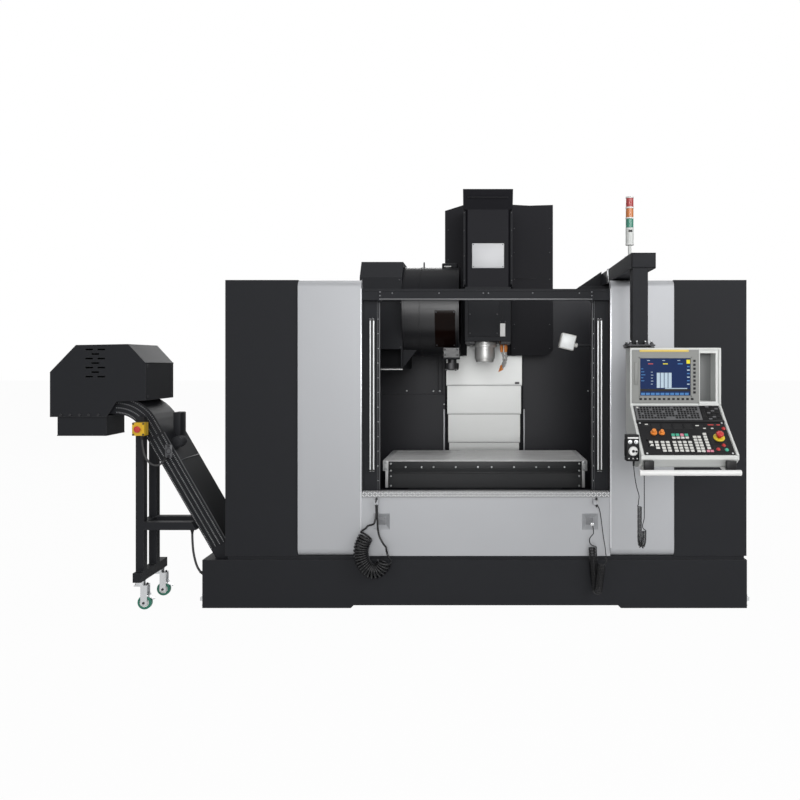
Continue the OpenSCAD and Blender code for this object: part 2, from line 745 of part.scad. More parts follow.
// Two jointed coolant hoses with tapered tips, screwed into the head's underside
module coolant_nozzles() color([0.85, 0.45, 0.15]) {
    for (x = [138, 108]) rod_z(x + 20, head_y + 140 + (138 - x), [head_z - 78, head_z], 13);
    translate([158, head_y + 140, head_z]) swept([[0, 0, -78], [4, -4, -130], [-4, -8, -180],
        [-20, -12, -206], [-44, -16, -232]], [10, 10, 10, 9, 5]);
    translate([128, head_y + 170, head_z]) swept([[0, 0, -78], [12, 0, -118], [16, -2, -165], [4, -4, -200],
        [-12, -8, -216]], [9, 9, 9, 8, 5]);
}

// Telescopic plates over the Z ways, folded back along both sides; n counts down from the head
module zcover_plate(n, z0, z1) color(pale) {
    w = zcover_w / 2 - n * zcover_step;
    y = zcover_y + n * zcover_back;
    block([-w, w], [y, y + zcover_t], [z0, z1]);
    both_sides() block([w - zcover_t, w], [y + zcover_t, y + zcover_side], [z0, z1]);
}
module z_cover_top() zcover_plate(0, zcover_z, head_z);
module z_cover_upper() zcover_plate(1, zcover_z - zcover_pitch, zcover_z + zcover_lap);
module z_cover_lower() zcover_plate(2, zcover_z - 2 * zcover_pitch, zcover_z - zcover_pitch + zcover_lap);
module z_cover_foot() zcover_plate(3, bed_z, zcover_z - 2 * zcover_pitch + zcover_lap);

// Round hood of the tool magazine, with the change arm's gearbox below its right end
module magazine_hood() color(charcoal) difference() {
    union() {
        rod_x([hood_x0, hood_x1], hood_y, hood_z, hood_r);
        block([-arm_x - 62, hood_x1], [spindle_y - 75, spindle_y + 160], [gearbox_z, window_low_z - 20]);
    }
    rod_x([hood_x0 + hood_t, hood_x1 - hood_t], hood_y, hood_z, hood_r - hood_t);
    block([hood_x1 - 40 - window_w, hood_x1 - 40], [hood_y - hood_r - 1, hood_y - 150],
        [window_low_z, window_low_z + window_h]);
}

// Curved window over the opening in the hood's front
module magazine_window() color([0.1, 0.06, 0.05]) intersection() {
    difference() {
        rod_x([hood_x0, hood_x1], hood_y, hood_z, hood_r + 4);
        rod_x([hood_x0 - 1, hood_x1 + 1], hood_y, hood_z, hood_r + run_gap / 2);
    }
    block([hood_x1 - 52 - window_w, hood_x1 - 28], [hood_y - hood_r - 10, hood_y - 150],
        [window_low_z - 12, window_low_z + window_h + 12]);
}

// Disc with its ring of tool pockets, on a hub that runs in the hood's end wall
module magazine_disc() color(steel) difference() {
    union() {
        rod_x([hood_x0 + 150, hood_x0 + 178], hood_y, hood_z, pocket_pcr + 34);
        rod_x([hood_x0 + hood_t + run_gap, hood_x0 + 150], hood_y, hood_z, 60);
        for (i = [0:pocket_count - 1]) pocket(360 * i / pocket_count) rod_x([0, 150], 0, 0, 30);
    }
    for (i = [0:pocket_count - 1]) pocket(360 * i / pocket_count) rod_x([60, 151], 0, 0, taper_r);
}
module pocket(a) translate([hood_x0 + 120, hood_y + pocket_pcr * cos(a), hood_z + pocket_pcr * sin(a)])
    children();

// Drive box at the hood's left end, with a pocket low in its front and a gusset to the hood
module magazine_drive() color(charcoal) {
    top = hood_z + drive_up;
    mid = hood_z + drive_mid;
    bottom = hood_z - drive_down;
    difference() {
        along_x([hood_x0 - drive_w, hood_x0], [[wall_y, bottom], [wall_y, top],
            [drive_y + drive_bevel[0], top], [drive_y, top - drive_bevel[1]], [drive_y, mid],
            [drive_y + drive_step, mid], [drive_y + drive_step, bottom]]);
        block([hood_x0 - drive_w + drive_wall, hood_x0 - drive_wall], [drive_y, drive_y + pocket_deep],
            [bottom + pocket_z[0], bottom + pocket_z[1]]);
    }
    along_y([drive_y + 100, drive_y + 112], [[hood_x0, bottom + 150], [hood_x0 + 104, bottom + 150],
        [hood_x0, bottom + 16]]);
}

// Double-ended change arm on its vertical shaft, parked clear of the spindle
module change_arm() color(steel) translate([-arm_x, spindle_y, 0]) difference() {
    union() {
        rod_z(0, 0, [arm_top - arm_t, arm_top], 52);
        rod_z(0, 0, [arm_top, gearbox_z - run_gap], 34);
        block([-26, 26], [-arm_x, arm_x], [arm_top - arm_t, arm_top]);
        for (s = [-1, 1]) rod_z(0, s * arm_x, [arm_top - arm_t, arm_top], 44);
    }
    for (s = [-1, 1]) {
        rod_z(0, s * arm_x, [arm_top - arm_t - 1, arm_top + 1], 29);
        block(s > 0 ? [0, 60] : [-60, 0], [s * arm_x - 25, s * arm_x + 25],
            [arm_top - arm_t - 1, arm_top + 1]);
    }
}

// Lamp box that tilts on the end of its rod
module work_light() color(pale) translate(light_at) {
    difference() {
        block([-132, -34], [-38, 38], [-42, 63]);
        block([-124, -42], [-40, -30], [-34, 55]);
    }
    rod_x([-34, -12], 0, 0, 16);
}

// Beam on the enclosure's top that carries the pendant arm's pivot, with a gusset plate
module arm_bracket() color(charcoal) {
    block([beam_x, cover_outer_x], [pivot_y - 100, pivot_y + 100], [enclosure_z - 60, enclosure_z]);
    rod_z(arm_cx, pivot_y, [enclosure_z, arm_z - run_gap], 60);
    along_y([pivot_y + 70, pivot_y + 86], [[beam_x, enclosure_z], [arm_cx - gusset_in, enclosure_z],
        [arm_cx - gusset_in, arm_z + 110]]);
}

// Hollow swing arm with its square post
module pendant_arm() color(charcoal) {
    block([arm_cx - arm_w / 2, arm_cx + arm_w / 2], [-post_y - post_w / 2, pivot_y + 60],
        [arm_z, arm_z + arm_h]);
    block([post_x - post_w / 2, post_x + post_w / 2], [-post_y - post_w / 2, -post_y + post_w / 2],
        [case_z + flange_t + hub_h + flange_t, arm_z]);
    block([post_x - flange_w / 2, post_x + flange_w / 2], [-post_y - flange_w / 2, -post_y + flange_w / 2],
        [case_z + flange_t + hub_h, case_z + flange_t + hub_h + flange_t]);
}

// Signal tower: foot, stem, body and three lenses between rings
module stack_light() color(pale) translate([stack_x, stack_y, stack_z]) {
    rod_z(0, 0, [0, 8], 30);
    rod_z(0, 0, [8, 76], 10);
    rod_z(0, 0, [76, 180], stack_r);
    for (z = [180, 242, 304]) {
        rod_z(0, 0, [z, z + 54], stack_r - 2);
        rod_z(0, 0, [z + 54, z + 62], stack_r);
    }
}

// Pendant case: upright screen part over a sloping keyboard tray, with an open pocket
module pendant_case() color(pale) {
    difference() {
        along_x([case_x, case_x1], [[back_y, case_z], [face_y, case_z], [face_y, screen_z], [key_y, key_z],
            [tray_y, tray_z], [tray_y, tray_z - lip_edge], [tray_y + lip_back, tray_bottom],
            [tray_y + tray_deep, tray_bottom - 16],
            [back_y, key_z - 60]]);
        block([case_x1 - 122, case_x1 - 30], [face_y - 1, face_y + 86], [screen_z + 22, case_z - 30]);
    }
    block([post_x - flange_w / 2, post_x + flange_w / 2], [-post_y - 60, -post_y + 60],
        [case_z, case_z + flange_t]);
    rod_z(post_x, -post_y, [case_z + flange_t, case_z + flange_t + hub_h - run_gap], 48);
}

// Screen with its bezel on the upright part of the case
module screen() color([0.45, 0.47, 0.48]) difference() {
    block([case_x + 10, case_x1 - 128], [face_y - 10, face_y], [screen_z + 14, case_z - 12]);
    block([case_x + 55, case_x1 - 173], [face_y - 11, face_y - 5], [screen_z + 54, case_z - 57]);
}

// Keyboard and operator plates on the two slopes, with the stop button's collar
module control_panel() color(black) {
    along_x([case_x + 18, case_x1 - 18], on_slope([face_y, screen_z], [key_y, key_z], plate_t, 8));
    along_x([case_x + 18, case_x1 - 18], on_slope([key_y, key_z], [tray_y, tray_z], plate_t, 6));
    on_panel(stop_at) difference() {
        rod_z(0, 0, [plate_t, plate_t + 6], 30);
        rod_z(0, 0, [plate_t - 1, plate_t + 7], 10 + run_gap);
    }
}
module emergency_stop() color([0.8, 0.1, 0.08]) on_panel(stop_at) {
    rod_z(0, 0, [plate_t + 5.6, plate_t + 24], 10);
    rod_z(0, 0, [plate_t + 24, plate_t + 40], 21);
}
module override_dial() color([0.85, 0.45, 0.15]) on_panel(dial_at) {
    rod_z(0, 0, [plate_t + run_gap, plate_t + 8], 19);
    rod_z(0, 0, [plate_t + 8, plate_t + 26], 13);
}

// Handle bar under the tray, on two dark brackets
module pendant_handle() color(pale) {
    rod_x([case_x - 18, case_x1 - 6], bar_y, bar_z, bar_r);
    for (x = [case_x + 12, case_x1 - 72]) along_x([x, x + bracket_w], [[tray_y + 75, tray_bottom - 1],
        [tray_y + 110, tray_bottom - 8], [tray_y + 10, bar_z - 10], [bar_y, bar_z - 10],
        [bar_y, bar_z + 10]]);
}

// Hand-held pulse wheel in its holder on the case's left side
module hand_wheel() color(black) {
    block([wheel_x, case_x], [wheel_y - wheel_box[1] / 2, wheel_y + wheel_box[1] / 2],
        [wheel_z, wheel_z + wheel_box[2]]);
}
module hand_wheel_dial() color(steel) {
    y = wheel_y - wheel_box[1] / 2;
    rod_y(wheel_x + 34, [y - 14, y - run_gap], wheel_z + 54, 25);
    rod_y(wheel_x + 34 + 14, [y - 30, y - 14], wheel_z + 54, 5);
}
module hand_wheel_cord() color(black) swept(cord_path, cord_radii);
module wash_hose() color(black) swept(wash_path, wash_r);
module air_hose() color(black) swept(air_path, air_r);

// Conveyor channel with its curved neck, ribs along both sides and a geared motor on its slope
module conveyor() color(charcoal) {
    difference() {
        along_y([channel_y, channel_y + channel_w], belt_band(-channel_h / 2, channel_h / 2));
        block([run_x - 60, run_x + 1], [channel_y + sheet, channel_y + channel_w - sheet],
            [run_z + sheet, low_z + channel_h]);
    }
    for (o = ribs_at, y = [channel_y - rib_t, channel_y + channel_w])
        along_y([y, y + rib_t], [on_belt(rib_start, o), on_belt(slope_l - rib_short, o),
            on_belt(slope_l - rib_short, o + rib_h), on_belt(rib_start, o + rib_h)]);
    motor = on_belt(slope_l - gear_motor_down, channel_h / 2 + gear_motor_r - 10);
    motor_y = channel_y + gear_motor_in;
    rod_y(motor[0], [motor_y, motor_y + gear_motor_l], motor[1], gear_motor_r);
}

// Faceted hood over the discharge end, with its floor, its open-ended chute and the bar that it hangs on
module conveyor_hood() color(charcoal) {
    x = -chute_end_x;
    outer = [[x, hood_floor], [x, hood_floor + hood_side_h], [x + hood_slant, hood_top - hood_fall],
        [x + hood_flat, hood_top], [x + hood_len, hood_top - hood_drop],
        [x + hood_len, hood_floor + hood_open_h],
        [x + hood_neck, hood_floor + hood_open_h - neck_step], [x + hood_mouth, hood_floor]];
    inner = [[x + sheet, hood_floor + sheet], [x + sheet, hood_floor + hood_side_h - 3],
        [x + hood_slant + 3, hood_top - hood_fall - sheet],
        [x + hood_flat - 4, hood_top - sheet], [x + hood_len - sheet, hood_top - hood_drop - 3],
        [x + hood_len - sheet, hood_floor - 20], [x + hood_mouth, hood_floor - 20],
        [x + hood_mouth, hood_floor + sheet]];
    cx = x + chute_in;
    difference() {
        along_y([0, discharge_w], outer);
        along_y([sheet, discharge_w - sheet], inner);
        along_y([channel_y, channel_y + channel_w], belt_band(-channel_h / 2, channel_h / 2));
        block([cx + sheet, cx + chute_w - sheet], [chute_y + sheet, chute_y + chute_d - sheet],
            [hood_floor - 1, hood_floor + sheet + 1]);
        for (row = [0:6], col = [0:1 - row % 2])
            translate([x + louvre_in + row % 2 * louvre_shift + col * louvre_pitch[0], 0,
                hood_top - louvre_down - louvre_pitch[1] * row])
            block([0, louvre_l], [-1, sheet + 1], [0, louvre_h]);
    }
    block([up_x - hanger[0], up_x], [sheet, discharge_w - sheet],
        [discharge_z + channel_h / 2, discharge_z + channel_h / 2 + hanger[1]]);
    difference() {
        block([cx, cx + chute_w], [chute_y, chute_y + chute_d], [hood_floor - chute_h, hood_floor]);
        block([cx + sheet, cx + chute_w - sheet], [chute_y + sheet, chute_y + chute_d - sheet],
            [hood_floor - chute_h - 1, hood_floor + 1]);
    }
}

// Stand under the conveyor's slope: two posts, braces and a foot beam for the casters
module conveyor_stand() color(charcoal) difference() {
    x = [stand_x - post_s / 2, stand_x + post_s / 2];
    union() {
        for (y = [channel_y - post_s, stand_rear_y]) {
            block(x, [y, y + post_s], [foot_z + foot_h, hood_floor]);
            difference() {
                block([x[1], x[1] + brace_l], [y, y + post_s], [brace_z, brace_z + brace_h]);
                along_y([y - 1, y + post_s + 1], belt_band(-channel_h / 2, 2 * channel_h));
            }
        }
        block(x, [caster_y[0] - foot_over, caster_y[1] + foot_over], [foot_z, foot_z + foot_h]);
        block(x, [channel_y, stand_rear_y], [brace_z, brace_z + brace_h]);
    }
    along_y([channel_y, channel_y + channel_w], belt_band(-channel_h / 2, 2 * channel_h));
}

// Swivel caster: fork with its axle, and its wheel
module caster_fork(y) color(steel) translate([stand_x, y, 0]) {
    rod_z(0, 0, [foot_z - 26, foot_z - run_gap], 30);
    block([-34, 50], [-26, 26], [foot_z - 34, foot_z - 26]);
    for (s = [-26, 20]) block([trail - 20, trail + 22], [s, s + 6], [caster_r - 14, foot_z - 34]);
    rod_y(trail, [-20, 20], caster_r, axle_r);
}
module caster_wheel(y) color(green) translate([stand_x + trail, y, caster_r]) difference() {
    union() {
        rod_y(0, [-16, 16], 0, caster_r);
        rod_y(0, [-19.7, 19.7], 0, 14);
    }
    rod_y(0, [-21, 21], 0, axle_r + axle_gap);
}
module front_caster() caster_fork(caster_y[0]);
module front_wheel() caster_wheel(caster_y[0]);
module rear_caster() caster_fork(caster_y[1]);
module rear_wheel() caster_wheel(caster_y[1]);

// Yellow stop box on the conveyor's front post, with its red button
module stop_box() color([0.85, 0.7, 0.1]) translate(stop_at_conveyor) difference() {
    block([-38, 39], [-stop_d, 0], [-41, 42]);
    rod_y(0, [-stop_d - 1, -stop_d + 12], 0, 14 + run_gap);
}
module stop_button() color([0.8, 0.1, 0.08]) translate(stop_at_conveyor) {
    rod_y(0, [-stop_d - 8, -stop_d + 6], 0, 14);
    rod_y(0, [-stop_d - 22, -stop_d - 8], 0, 21);
}
module conveyor_cables() color(black) {
    swept(stop_cable, [for (p = stop_cable) cable_r]);
    swept(conduit, [for (p = conduit) cable_r]);
}

// Electrical cabinet on the right cabinet's back, and its hinged door
module electrical_cabinet() color(charcoal) difference() {
    block([ebox_x0, ebox_x1], [enclosure_y, enclosure_y + ebox_d], [ebox_z0, ebox_z1]);
    block([ebox_x0 + ebox_t, ebox_x1 - ebox_t], [enclosure_y + ebox_t, enclosure_y + ebox_d + 1],
        [ebox_z0 + ebox_t, ebox_z1 - ebox_t]);
}
module electrical_door() color(charcoal) difference() {
    block([ebox_x0, ebox_x1], [edoor_y, edoor_y + edoor_t], [ebox_z0, ebox_z1]);
    block([ebox_x0 + 40, ebox_x0 + 75], [edoor_y + 8, edoor_y + edoor_t + 1],
        [ebox_z0 + 780, ebox_z0 + 900]);
}

place() base();
place() levelling_jacks();
place() side_cabinets();
place() front_covers();
place() front_apron();
place() tread_plate();
place() door_rails();
place() inner_walls();
place() left_door();
place() left_door_pane();
place() left_door_handle();
place() right_door();
place() right_door_pane();
place() right_door_handle();
place() bed();
place() saddle();
place() table();
place() table_skirt();
place() column();
place() spindle_head();
place() motor_cover();
place() head_guard();
place() spindle();
place() coolant_nozzles();
place() z_cover_top();
place() z_cover_upper();
place() z_cover_lower();
place() z_cover_foot();
place() magazine_hood();
place() magazine_window();
place() magazine_disc();
place() magazine_drive();
place() change_arm();
place() work_light();
place() arm_bracket();
place() pendant_arm();
place() stack_light();
place() pendant_case();
place() screen();
place() control_panel();
place() emergency_stop();
place() override_dial();
place() pendant_handle();
place() hand_wheel();
place() hand_wheel_dial();
place() hand_wheel_cord();
place() wash_hose();
place() air_hose();
place() conveyor();
place() conveyor_hood();
place() conveyor_stand();
place() front_caster();
place() front_wheel();
place() rear_caster();
place() rear_wheel();
place() stop_box();
place() stop_button();
place() conveyor_cables();
place() electrical_cabinet();
place() electrical_door();
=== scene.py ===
"""A vertical machining centre with a chip conveyor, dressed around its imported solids.

Pieces are in millimetres from the spindle's own frame: X right, Y back from the cabinets' front, Z up.
The studio is in metres on the shared frame.
"""

import math

import bmesh
import bpy
from mathutils import Matrix, Vector


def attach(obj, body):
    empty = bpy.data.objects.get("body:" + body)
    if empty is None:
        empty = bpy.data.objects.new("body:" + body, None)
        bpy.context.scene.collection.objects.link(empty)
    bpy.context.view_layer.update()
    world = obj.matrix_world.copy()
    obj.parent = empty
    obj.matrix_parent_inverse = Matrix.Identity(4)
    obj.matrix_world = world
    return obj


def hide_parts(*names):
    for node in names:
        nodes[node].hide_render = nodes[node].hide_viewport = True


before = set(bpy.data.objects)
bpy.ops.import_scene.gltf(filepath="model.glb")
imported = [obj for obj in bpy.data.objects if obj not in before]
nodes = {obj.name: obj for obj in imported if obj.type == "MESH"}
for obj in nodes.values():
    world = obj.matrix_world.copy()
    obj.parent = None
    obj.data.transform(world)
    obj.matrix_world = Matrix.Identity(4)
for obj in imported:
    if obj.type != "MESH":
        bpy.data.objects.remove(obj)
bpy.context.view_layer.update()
scene = bpy.context.scene
scene.view_settings.view_transform = "Standard"

# Studio: a pale floor that runs out to a white background, large soft lamps in front, above and
# behind, and a level camera a long way in front whose frame is shifted down and to the left.
EYE = (0.4985, -5.7592, 1.587)
FLOOR_HALF = 60


def put(name, data):
    """A new object in the scene."""
    made = bpy.data.objects.new(name, data)
    scene.collection.objects.link(made)
    return made


def node(tree, kind, sockets=None, **settings):
    """A new node with its settings and the values of its sockets."""
    made = tree.nodes.new(kind)
    for name, value in settings.items():
        setattr(made, name, value)
    for name, value in (sockets or {}).items():
        made.inputs[name].default_value = value
    return made


def wire(*joins):
    """Links nodes; a join is a node, its output, the node that it feeds and that one's input."""
    for giver, out, taker, into in joins:
        giver.id_data.links.new(giver.outputs[out], taker.inputs[into])


def seen_rays(tree):
    """1 where the camera, a mirror or glass looks, 0 where light is gathered."""
    path = node(tree, "ShaderNodeLightPath")
    either, seen = [node(tree, "ShaderNodeMath", operation="MAXIMUM") for _ in range(2)]
    wire((path, "Is Camera Ray", either, 0), (path, "Is Glossy Ray", either, 1), (either, 0, seen, 0),
         (path, "Is Transmission Ray", seen, 1))
    return seen


eye = bpy.data.cameras.new("eye")
eye.sensor_width, eye.lens = 36.0, 34.47
eye.shift_x, eye.shift_y = -0.09875, -0.0475
scene.camera = put("eye", eye)
scene.camera.location, scene.camera.rotation_euler = EYE, (math.pi / 2, 0, 0)

world = bpy.data.worlds.new("studio")
world.use_nodes = True
scene.world = world
sky = world.node_tree
sky_light = sky.nodes["Background"]
sky_light.inputs["Color"].default_value = (1, 1, 1, 1)
sky_level = node(sky, "ShaderNodeMapRange", {"To Min": 0.15, "To Max": 1.0})
wire((seen_rays(sky), 0, sky_level, "Value"), (sky_level, 0, sky_light, "Strength"))

floor_paint = bpy.data.materials.new("floor_paint")
floor_paint.use_nodes = True
tree = floor_paint.node_tree
tree.nodes.clear()
out = node(tree, "ShaderNodeOutputMaterial")
lit = node(tree, "ShaderNodeBsdfDiffuse", {"Color": (0.8, 0.8, 0.8, 1)})
glow = node(tree, "ShaderNodeEmission")
shared = node(tree, "ShaderNodeMixShader")
white_share = node(tree, "ShaderNodeMapRange", {"To Max": 0.97})
wire((seen_rays(tree), 0, white_share, "Value"), (white_share, 0, shared, 0), (lit, 0, shared, 1),
     (glow, 0, shared, 2), (shared, 0, out, "Surface"))
ground = bmesh.new()
bmesh.ops.create_grid(ground, x_segments=1, y_segments=1, size=FLOOR_HALF)
floor_mesh = bpy.data.meshes.new("floor")
ground.to_mesh(floor_mesh)
ground.free()
floor_mesh.materials.append(floor_paint)
floor = put("floor", floor_mesh)

for name, place, aim, width, power in (
    ("front_lamp", (0.9, -12.5, 3.2), (0.5, 0.6, 1.3), 4.0, 490),
    ("left_lamp", (-3.5, -6.5, 5.0), (0.0, 0.0, 1.2), 4.0, 50),
    ("right_lamp", (5.0, -6.0, 4.0), (0.5, 0.0, 1.2), 4.0, 200),
    ("top_lamp", (0.5, 0.2, 6.0), (0.5, 0.2, 0.0), 3.5, 60),
    ("rear_lamp", (-1.5, 9.0, 5.0), (0.5, 0.8, 1.2), 4.0, 210),
):
    lamp = bpy.data.lights.new(name, "AREA")
    lamp.energy, lamp.size = power, width
    lamp_object = put(name, lamp)
    lamp_object.location = place
    lamp_object.rotation_euler = (Vector(aim) - Vector(place)).to_track_quat("-Z", "Y").to_euler()

# Base: a welded steel tank with bevelled feet, powder coated in charcoal, which carries everything.
# The coat is a fine orange peel with slight mottling, thinner and paler along the folded edges.


def group_of(name, *sockets):
    """A node group for a shared effect, with the nodes at its way in and its way out."""
    made = bpy.data.node_groups.new(name, "ShaderNodeTree")
    for label, kind, way in sockets:
        made.interface.new_socket(name=label, in_out=way, socket_type="NodeSocket" + kind)
    return made, node(made, "NodeGroupInput"), node(made, "NodeGroupOutput")


coat_grain, given, told = group_of("coat_grain", ("Scale", "Float", "INPUT"), ("Stretch", "Vector", "INPUT"),
                                   ("Shade", "Float", "OUTPUT"), ("Height", "Float", "OUTPUT"))
place = node(coat_grain, "ShaderNodeTexCoord")
stretch = node(coat_grain, "ShaderNodeMapping")
peel = node(coat_grain, "ShaderNodeTexNoise", {"Detail": 3.0})
cloud = node(coat_grain, "ShaderNodeTexNoise", {"Scale": 2.3, "Detail": 5.0})
blend = node(coat_grain, "ShaderNodeMix", {"Factor": 0.35})
wire((place, "Object", stretch, "Vector"), (given, "Stretch", stretch, "Scale"), (stretch, 0, peel, "Vector"),
     (given, "Scale", peel, "Scale"), (place, "Object", cloud, "Vector"), (cloud, "Fac", blend, "A"),
     (peel, "Fac", blend, "B"), (blend, "Result", told, "Shade"), (peel, "Fac", told, "Height"))

edge_rub, given, told = group_of("edge_rub", ("Width", "Float", "INPUT"), ("Rubbed", "Float", "OUTPUT"),
                                 ("Rounded", "Vector", "OUTPUT"))
rounded = node(edge_rub, "ShaderNodeBevel", samples=4)
flat = node(edge_rub, "ShaderNodeNewGeometry")
lean = node(edge_rub, "ShaderNodeVectorMath", operation="DOT_PRODUCT")
rub = node(edge_rub, "ShaderNodeMapRange", {"From Min": 0.995, "From Max": 0.85, "To Min": 0.0, "To Max": 1.0})
wire((given, "Width", rounded, "Radius"), (rounded, 0, lean, 0), (flat, "True Normal", lean, 1),
     (lean, "Value", rub, "Value"), (rub, 0, told, "Rubbed"), (rounded, 0, told, "Rounded"))


def finish_of(name, colour, rough, metal=0.0, gloss=0.5, grain=300, bump=0.05, mottle=0.12, stretch=(1, 1, 1),
              edge=0.0, rub=0.0):
    """A painted, moulded or ground finish: grain and mottling everywhere, rounding on solid edges."""
    spread, least, depth = 0.07, 0.02, 0.001
    made = bpy.data.materials.new(name)
    made.use_nodes = True
    tree = made.node_tree
    face = tree.nodes["Principled BSDF"]
    face.inputs["Metallic"].default_value = metal
    face.inputs["Specular IOR Level"].default_value = gloss
    dark, light = [(*[min(1, c * (1 + share)) for c in colour], 1) for share in (-mottle, mottle)]
    grains = node(tree, "ShaderNodeGroup", node_tree=coat_grain)
    grains.inputs["Scale"].default_value, grains.inputs["Stretch"].default_value = grain, stretch
    hue = tint = node(tree, "ShaderNodeMix", {"A": dark, "B": light}, data_type="RGBA")
    matt = node(tree, "ShaderNodeMapRange", {"To Min": max(least, rough - spread), "To Max": rough + spread})
    relief = node(tree, "ShaderNodeBump", {"Strength": bump, "Distance": depth})
    wire((grains, "Shade", tint, "Factor"), (grains, "Shade", matt, "Value"), (matt, 0, face, "Roughness"),
         (grains, "Height", relief, "Height"), (relief, 0, face, "Normal"))
    if edge:
        worn = node(tree, "ShaderNodeGroup", node_tree=edge_rub)
        worn.inputs["Width"].default_value = edge
        wire((worn, "Rounded", relief, "Normal"))
        if rub:
            pale = (*[min(1, c + rub) for c in colour], 1)
            hue = node(tree, "ShaderNodeMix", {"B": pale}, data_type="RGBA")
            wire((worn, "Rubbed", hue, "Factor"), (tint, "Result", hue, "A"))
    wire((hue, "Result", face, "Base Color"))
    return made


def dress(material, *names):
    """Gives solids their finish."""
    for name in names:
        nodes[name].data.materials.clear()
        nodes[name].data.materials.append(material)


charcoal = finish_of("charcoal_coat", (0.017, 0.0178, 0.0205), 0.55, gloss=0.12, grain=420, bump=0.12,
                     edge=0.005, rub=0.03)
dress(charcoal, "base", "column", "saddle")

# Levelling jacks: pads under the base and threaded bolts in an ear at each corner, bright zinc plate.
# Each bolt is locked by a hex nut above and below its ear.
SHIFT = Vector((0.5425, -0.8572, 0.0))
UP, DOWN, FRONT, BACK, RIGHT = (0, 0, 1), (0, 0, -1), (0, -1, 0), (0, 1, 0), (1, 0, 0)


def at(x, y, z):
    """A point of the spindle's frame, in metres on the shared frame."""
    return Vector((x, y, z)) / 1000 + SHIFT


def slab(bm, x, y, z, edge=0.0, segments=2, turn=None, skin=0):
    """A block between two planes each way, its edges rounded; turn tilts it about its middle."""
    low, high = at(x[0], y[0], z[0]), at(x[1], y[1], z[1])
    size = high - low
    spot = Matrix.Translation((low + high) / 2) @ (turn or Matrix()) @ Matrix.Diagonal((*size, 1))
    made = bmesh.ops.create_cube(bm, size=1, matrix=spot)
    faces = list({f for v in made["verts"] for f in v.link_faces})
    if edge:
        edges = list({e for v in made["verts"] for e in v.link_edges})
        made = bmesh.ops.bevel(bm, geom=edges, offset=edge / 1000, offset_type="OFFSET", affect="EDGES",
                               segments=segments, profile=0.5, material=-1)
        faces = list({f for v in made["verts"] for f in v.link_faces})
    for f in faces:
        f.material_index = skin


def turned(bm, spot, axis, outline, steps=20, skin=0):
    """A turned shape: its outline of (radius, height along axis) is spun round the axis at spot."""
    part = bmesh.new()
    points = [part.verts.new((r / 1000, 0, h / 1000)) for r, h in outline]
    edges = [part.edges.new(pair) for pair in zip(points, points[1:])]
    bmesh.ops.spin(part, geom=points + edges, cent=(0, 0, 0), axis=UP, angle=2 * math.pi,
                   steps=steps, use_merge=True)
    bmesh.ops.remove_doubles(part, verts=part.verts, dist=1e-6)
    upright = Vector(UP).rotation_difference(Vector(axis)).to_matrix().to_4x4()
    bmesh.ops.transform(part, matrix=Matrix.Translation(at(*spot)) @ upright, verts=part.verts)
    add(bm, part, skin)


def add(bm, part, skin=0):
    """Puts a finished shape into a piece."""
    for f in part.faces:
        f.material_index = skin
    blank = bpy.data.meshes.new("blank")
    part.to_mesh(blank)
    part.free()
    bm.from_mesh(blank)
    bpy.data.meshes.remove(blank)


def piece(bm, name, materials, body, sharp=32):
    """Closes a piece: outward faces, smooth shading up to the sharp angle, its finish and its body."""
    bmesh.ops.recalc_face_normals(bm, faces=bm.faces)
    for f in bm.faces:
        f.smooth = True
    for e in bm.edges:
        e.smooth = len(e.link_faces) == 2 and e.calc_face_angle() < math.radians(sharp)
    mesh = bpy.data.meshes.new(name)
    bm.to_mesh(mesh)
    bm.free()
    for material in materials if isinstance(materials, tuple) else (materials,):
        mesh.materials.append(material)
    made = put(name, mesh)
    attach(made, body)
    return made


zinc = finish_of("zinc_plate", (0.56, 0.57, 0.58), 0.32, metal=1.0, grain=160, bump=0.04, edge=0.002)
dress(zinc, "levelling_jacks")
nuts = bmesh.new()
NUT = ((0, 0), (15, 0), (17, 2), (17, 11), (15, 13), (0, 13))
for x in (1688, -1832):
    for y in (90, 2350):
        turned(nuts, (x, y, 64), UP, NUT, steps=6)
        turned(nuts, (x, y, 26), UP, NUT, steps=6)
piece(nuts, "jack_nuts", zinc, "machine")

# Side cabinets: folded sheet in the same charcoal coat, with bolted service panels on their outer
# sides and on the left one's back, quarter-turn locks and cooling slots.
dress(charcoal, "side_cabinets")
black_zinc = finish_of("black_zinc", (0.03, 0.03, 0.033), 0.35, metal=0.6, grain=200, bump=0.03)
BUTTON = ((0, 4.2), (2.4, 4.2), (3.4, 2.6), (4.6, 2.9), (5.6, 4.4), (7.2, 3.6), (8.2, 0.6), (8.2, 0))


def screws(bm, spots, axis, size=1.0, skin=0, steps=10):
    """Socket button screws with their heads out along the axis."""
    for spot in spots:
        turned(bm, spot, axis, [(r * size, h * size) for r, h in BUTTON], steps, skin)


def screw_grid(bm, xs, y, zs, size, skin=1, axis=FRONT):
    """Screws in an upright plane, at every x and z."""
    screws(bm, [(x, y, z) for x in xs for z in zs], axis, size, skin)


def span(side, near, far):
    """A range along X on one side of the middle, its low end first."""
    return sorted((side * near, side * far))


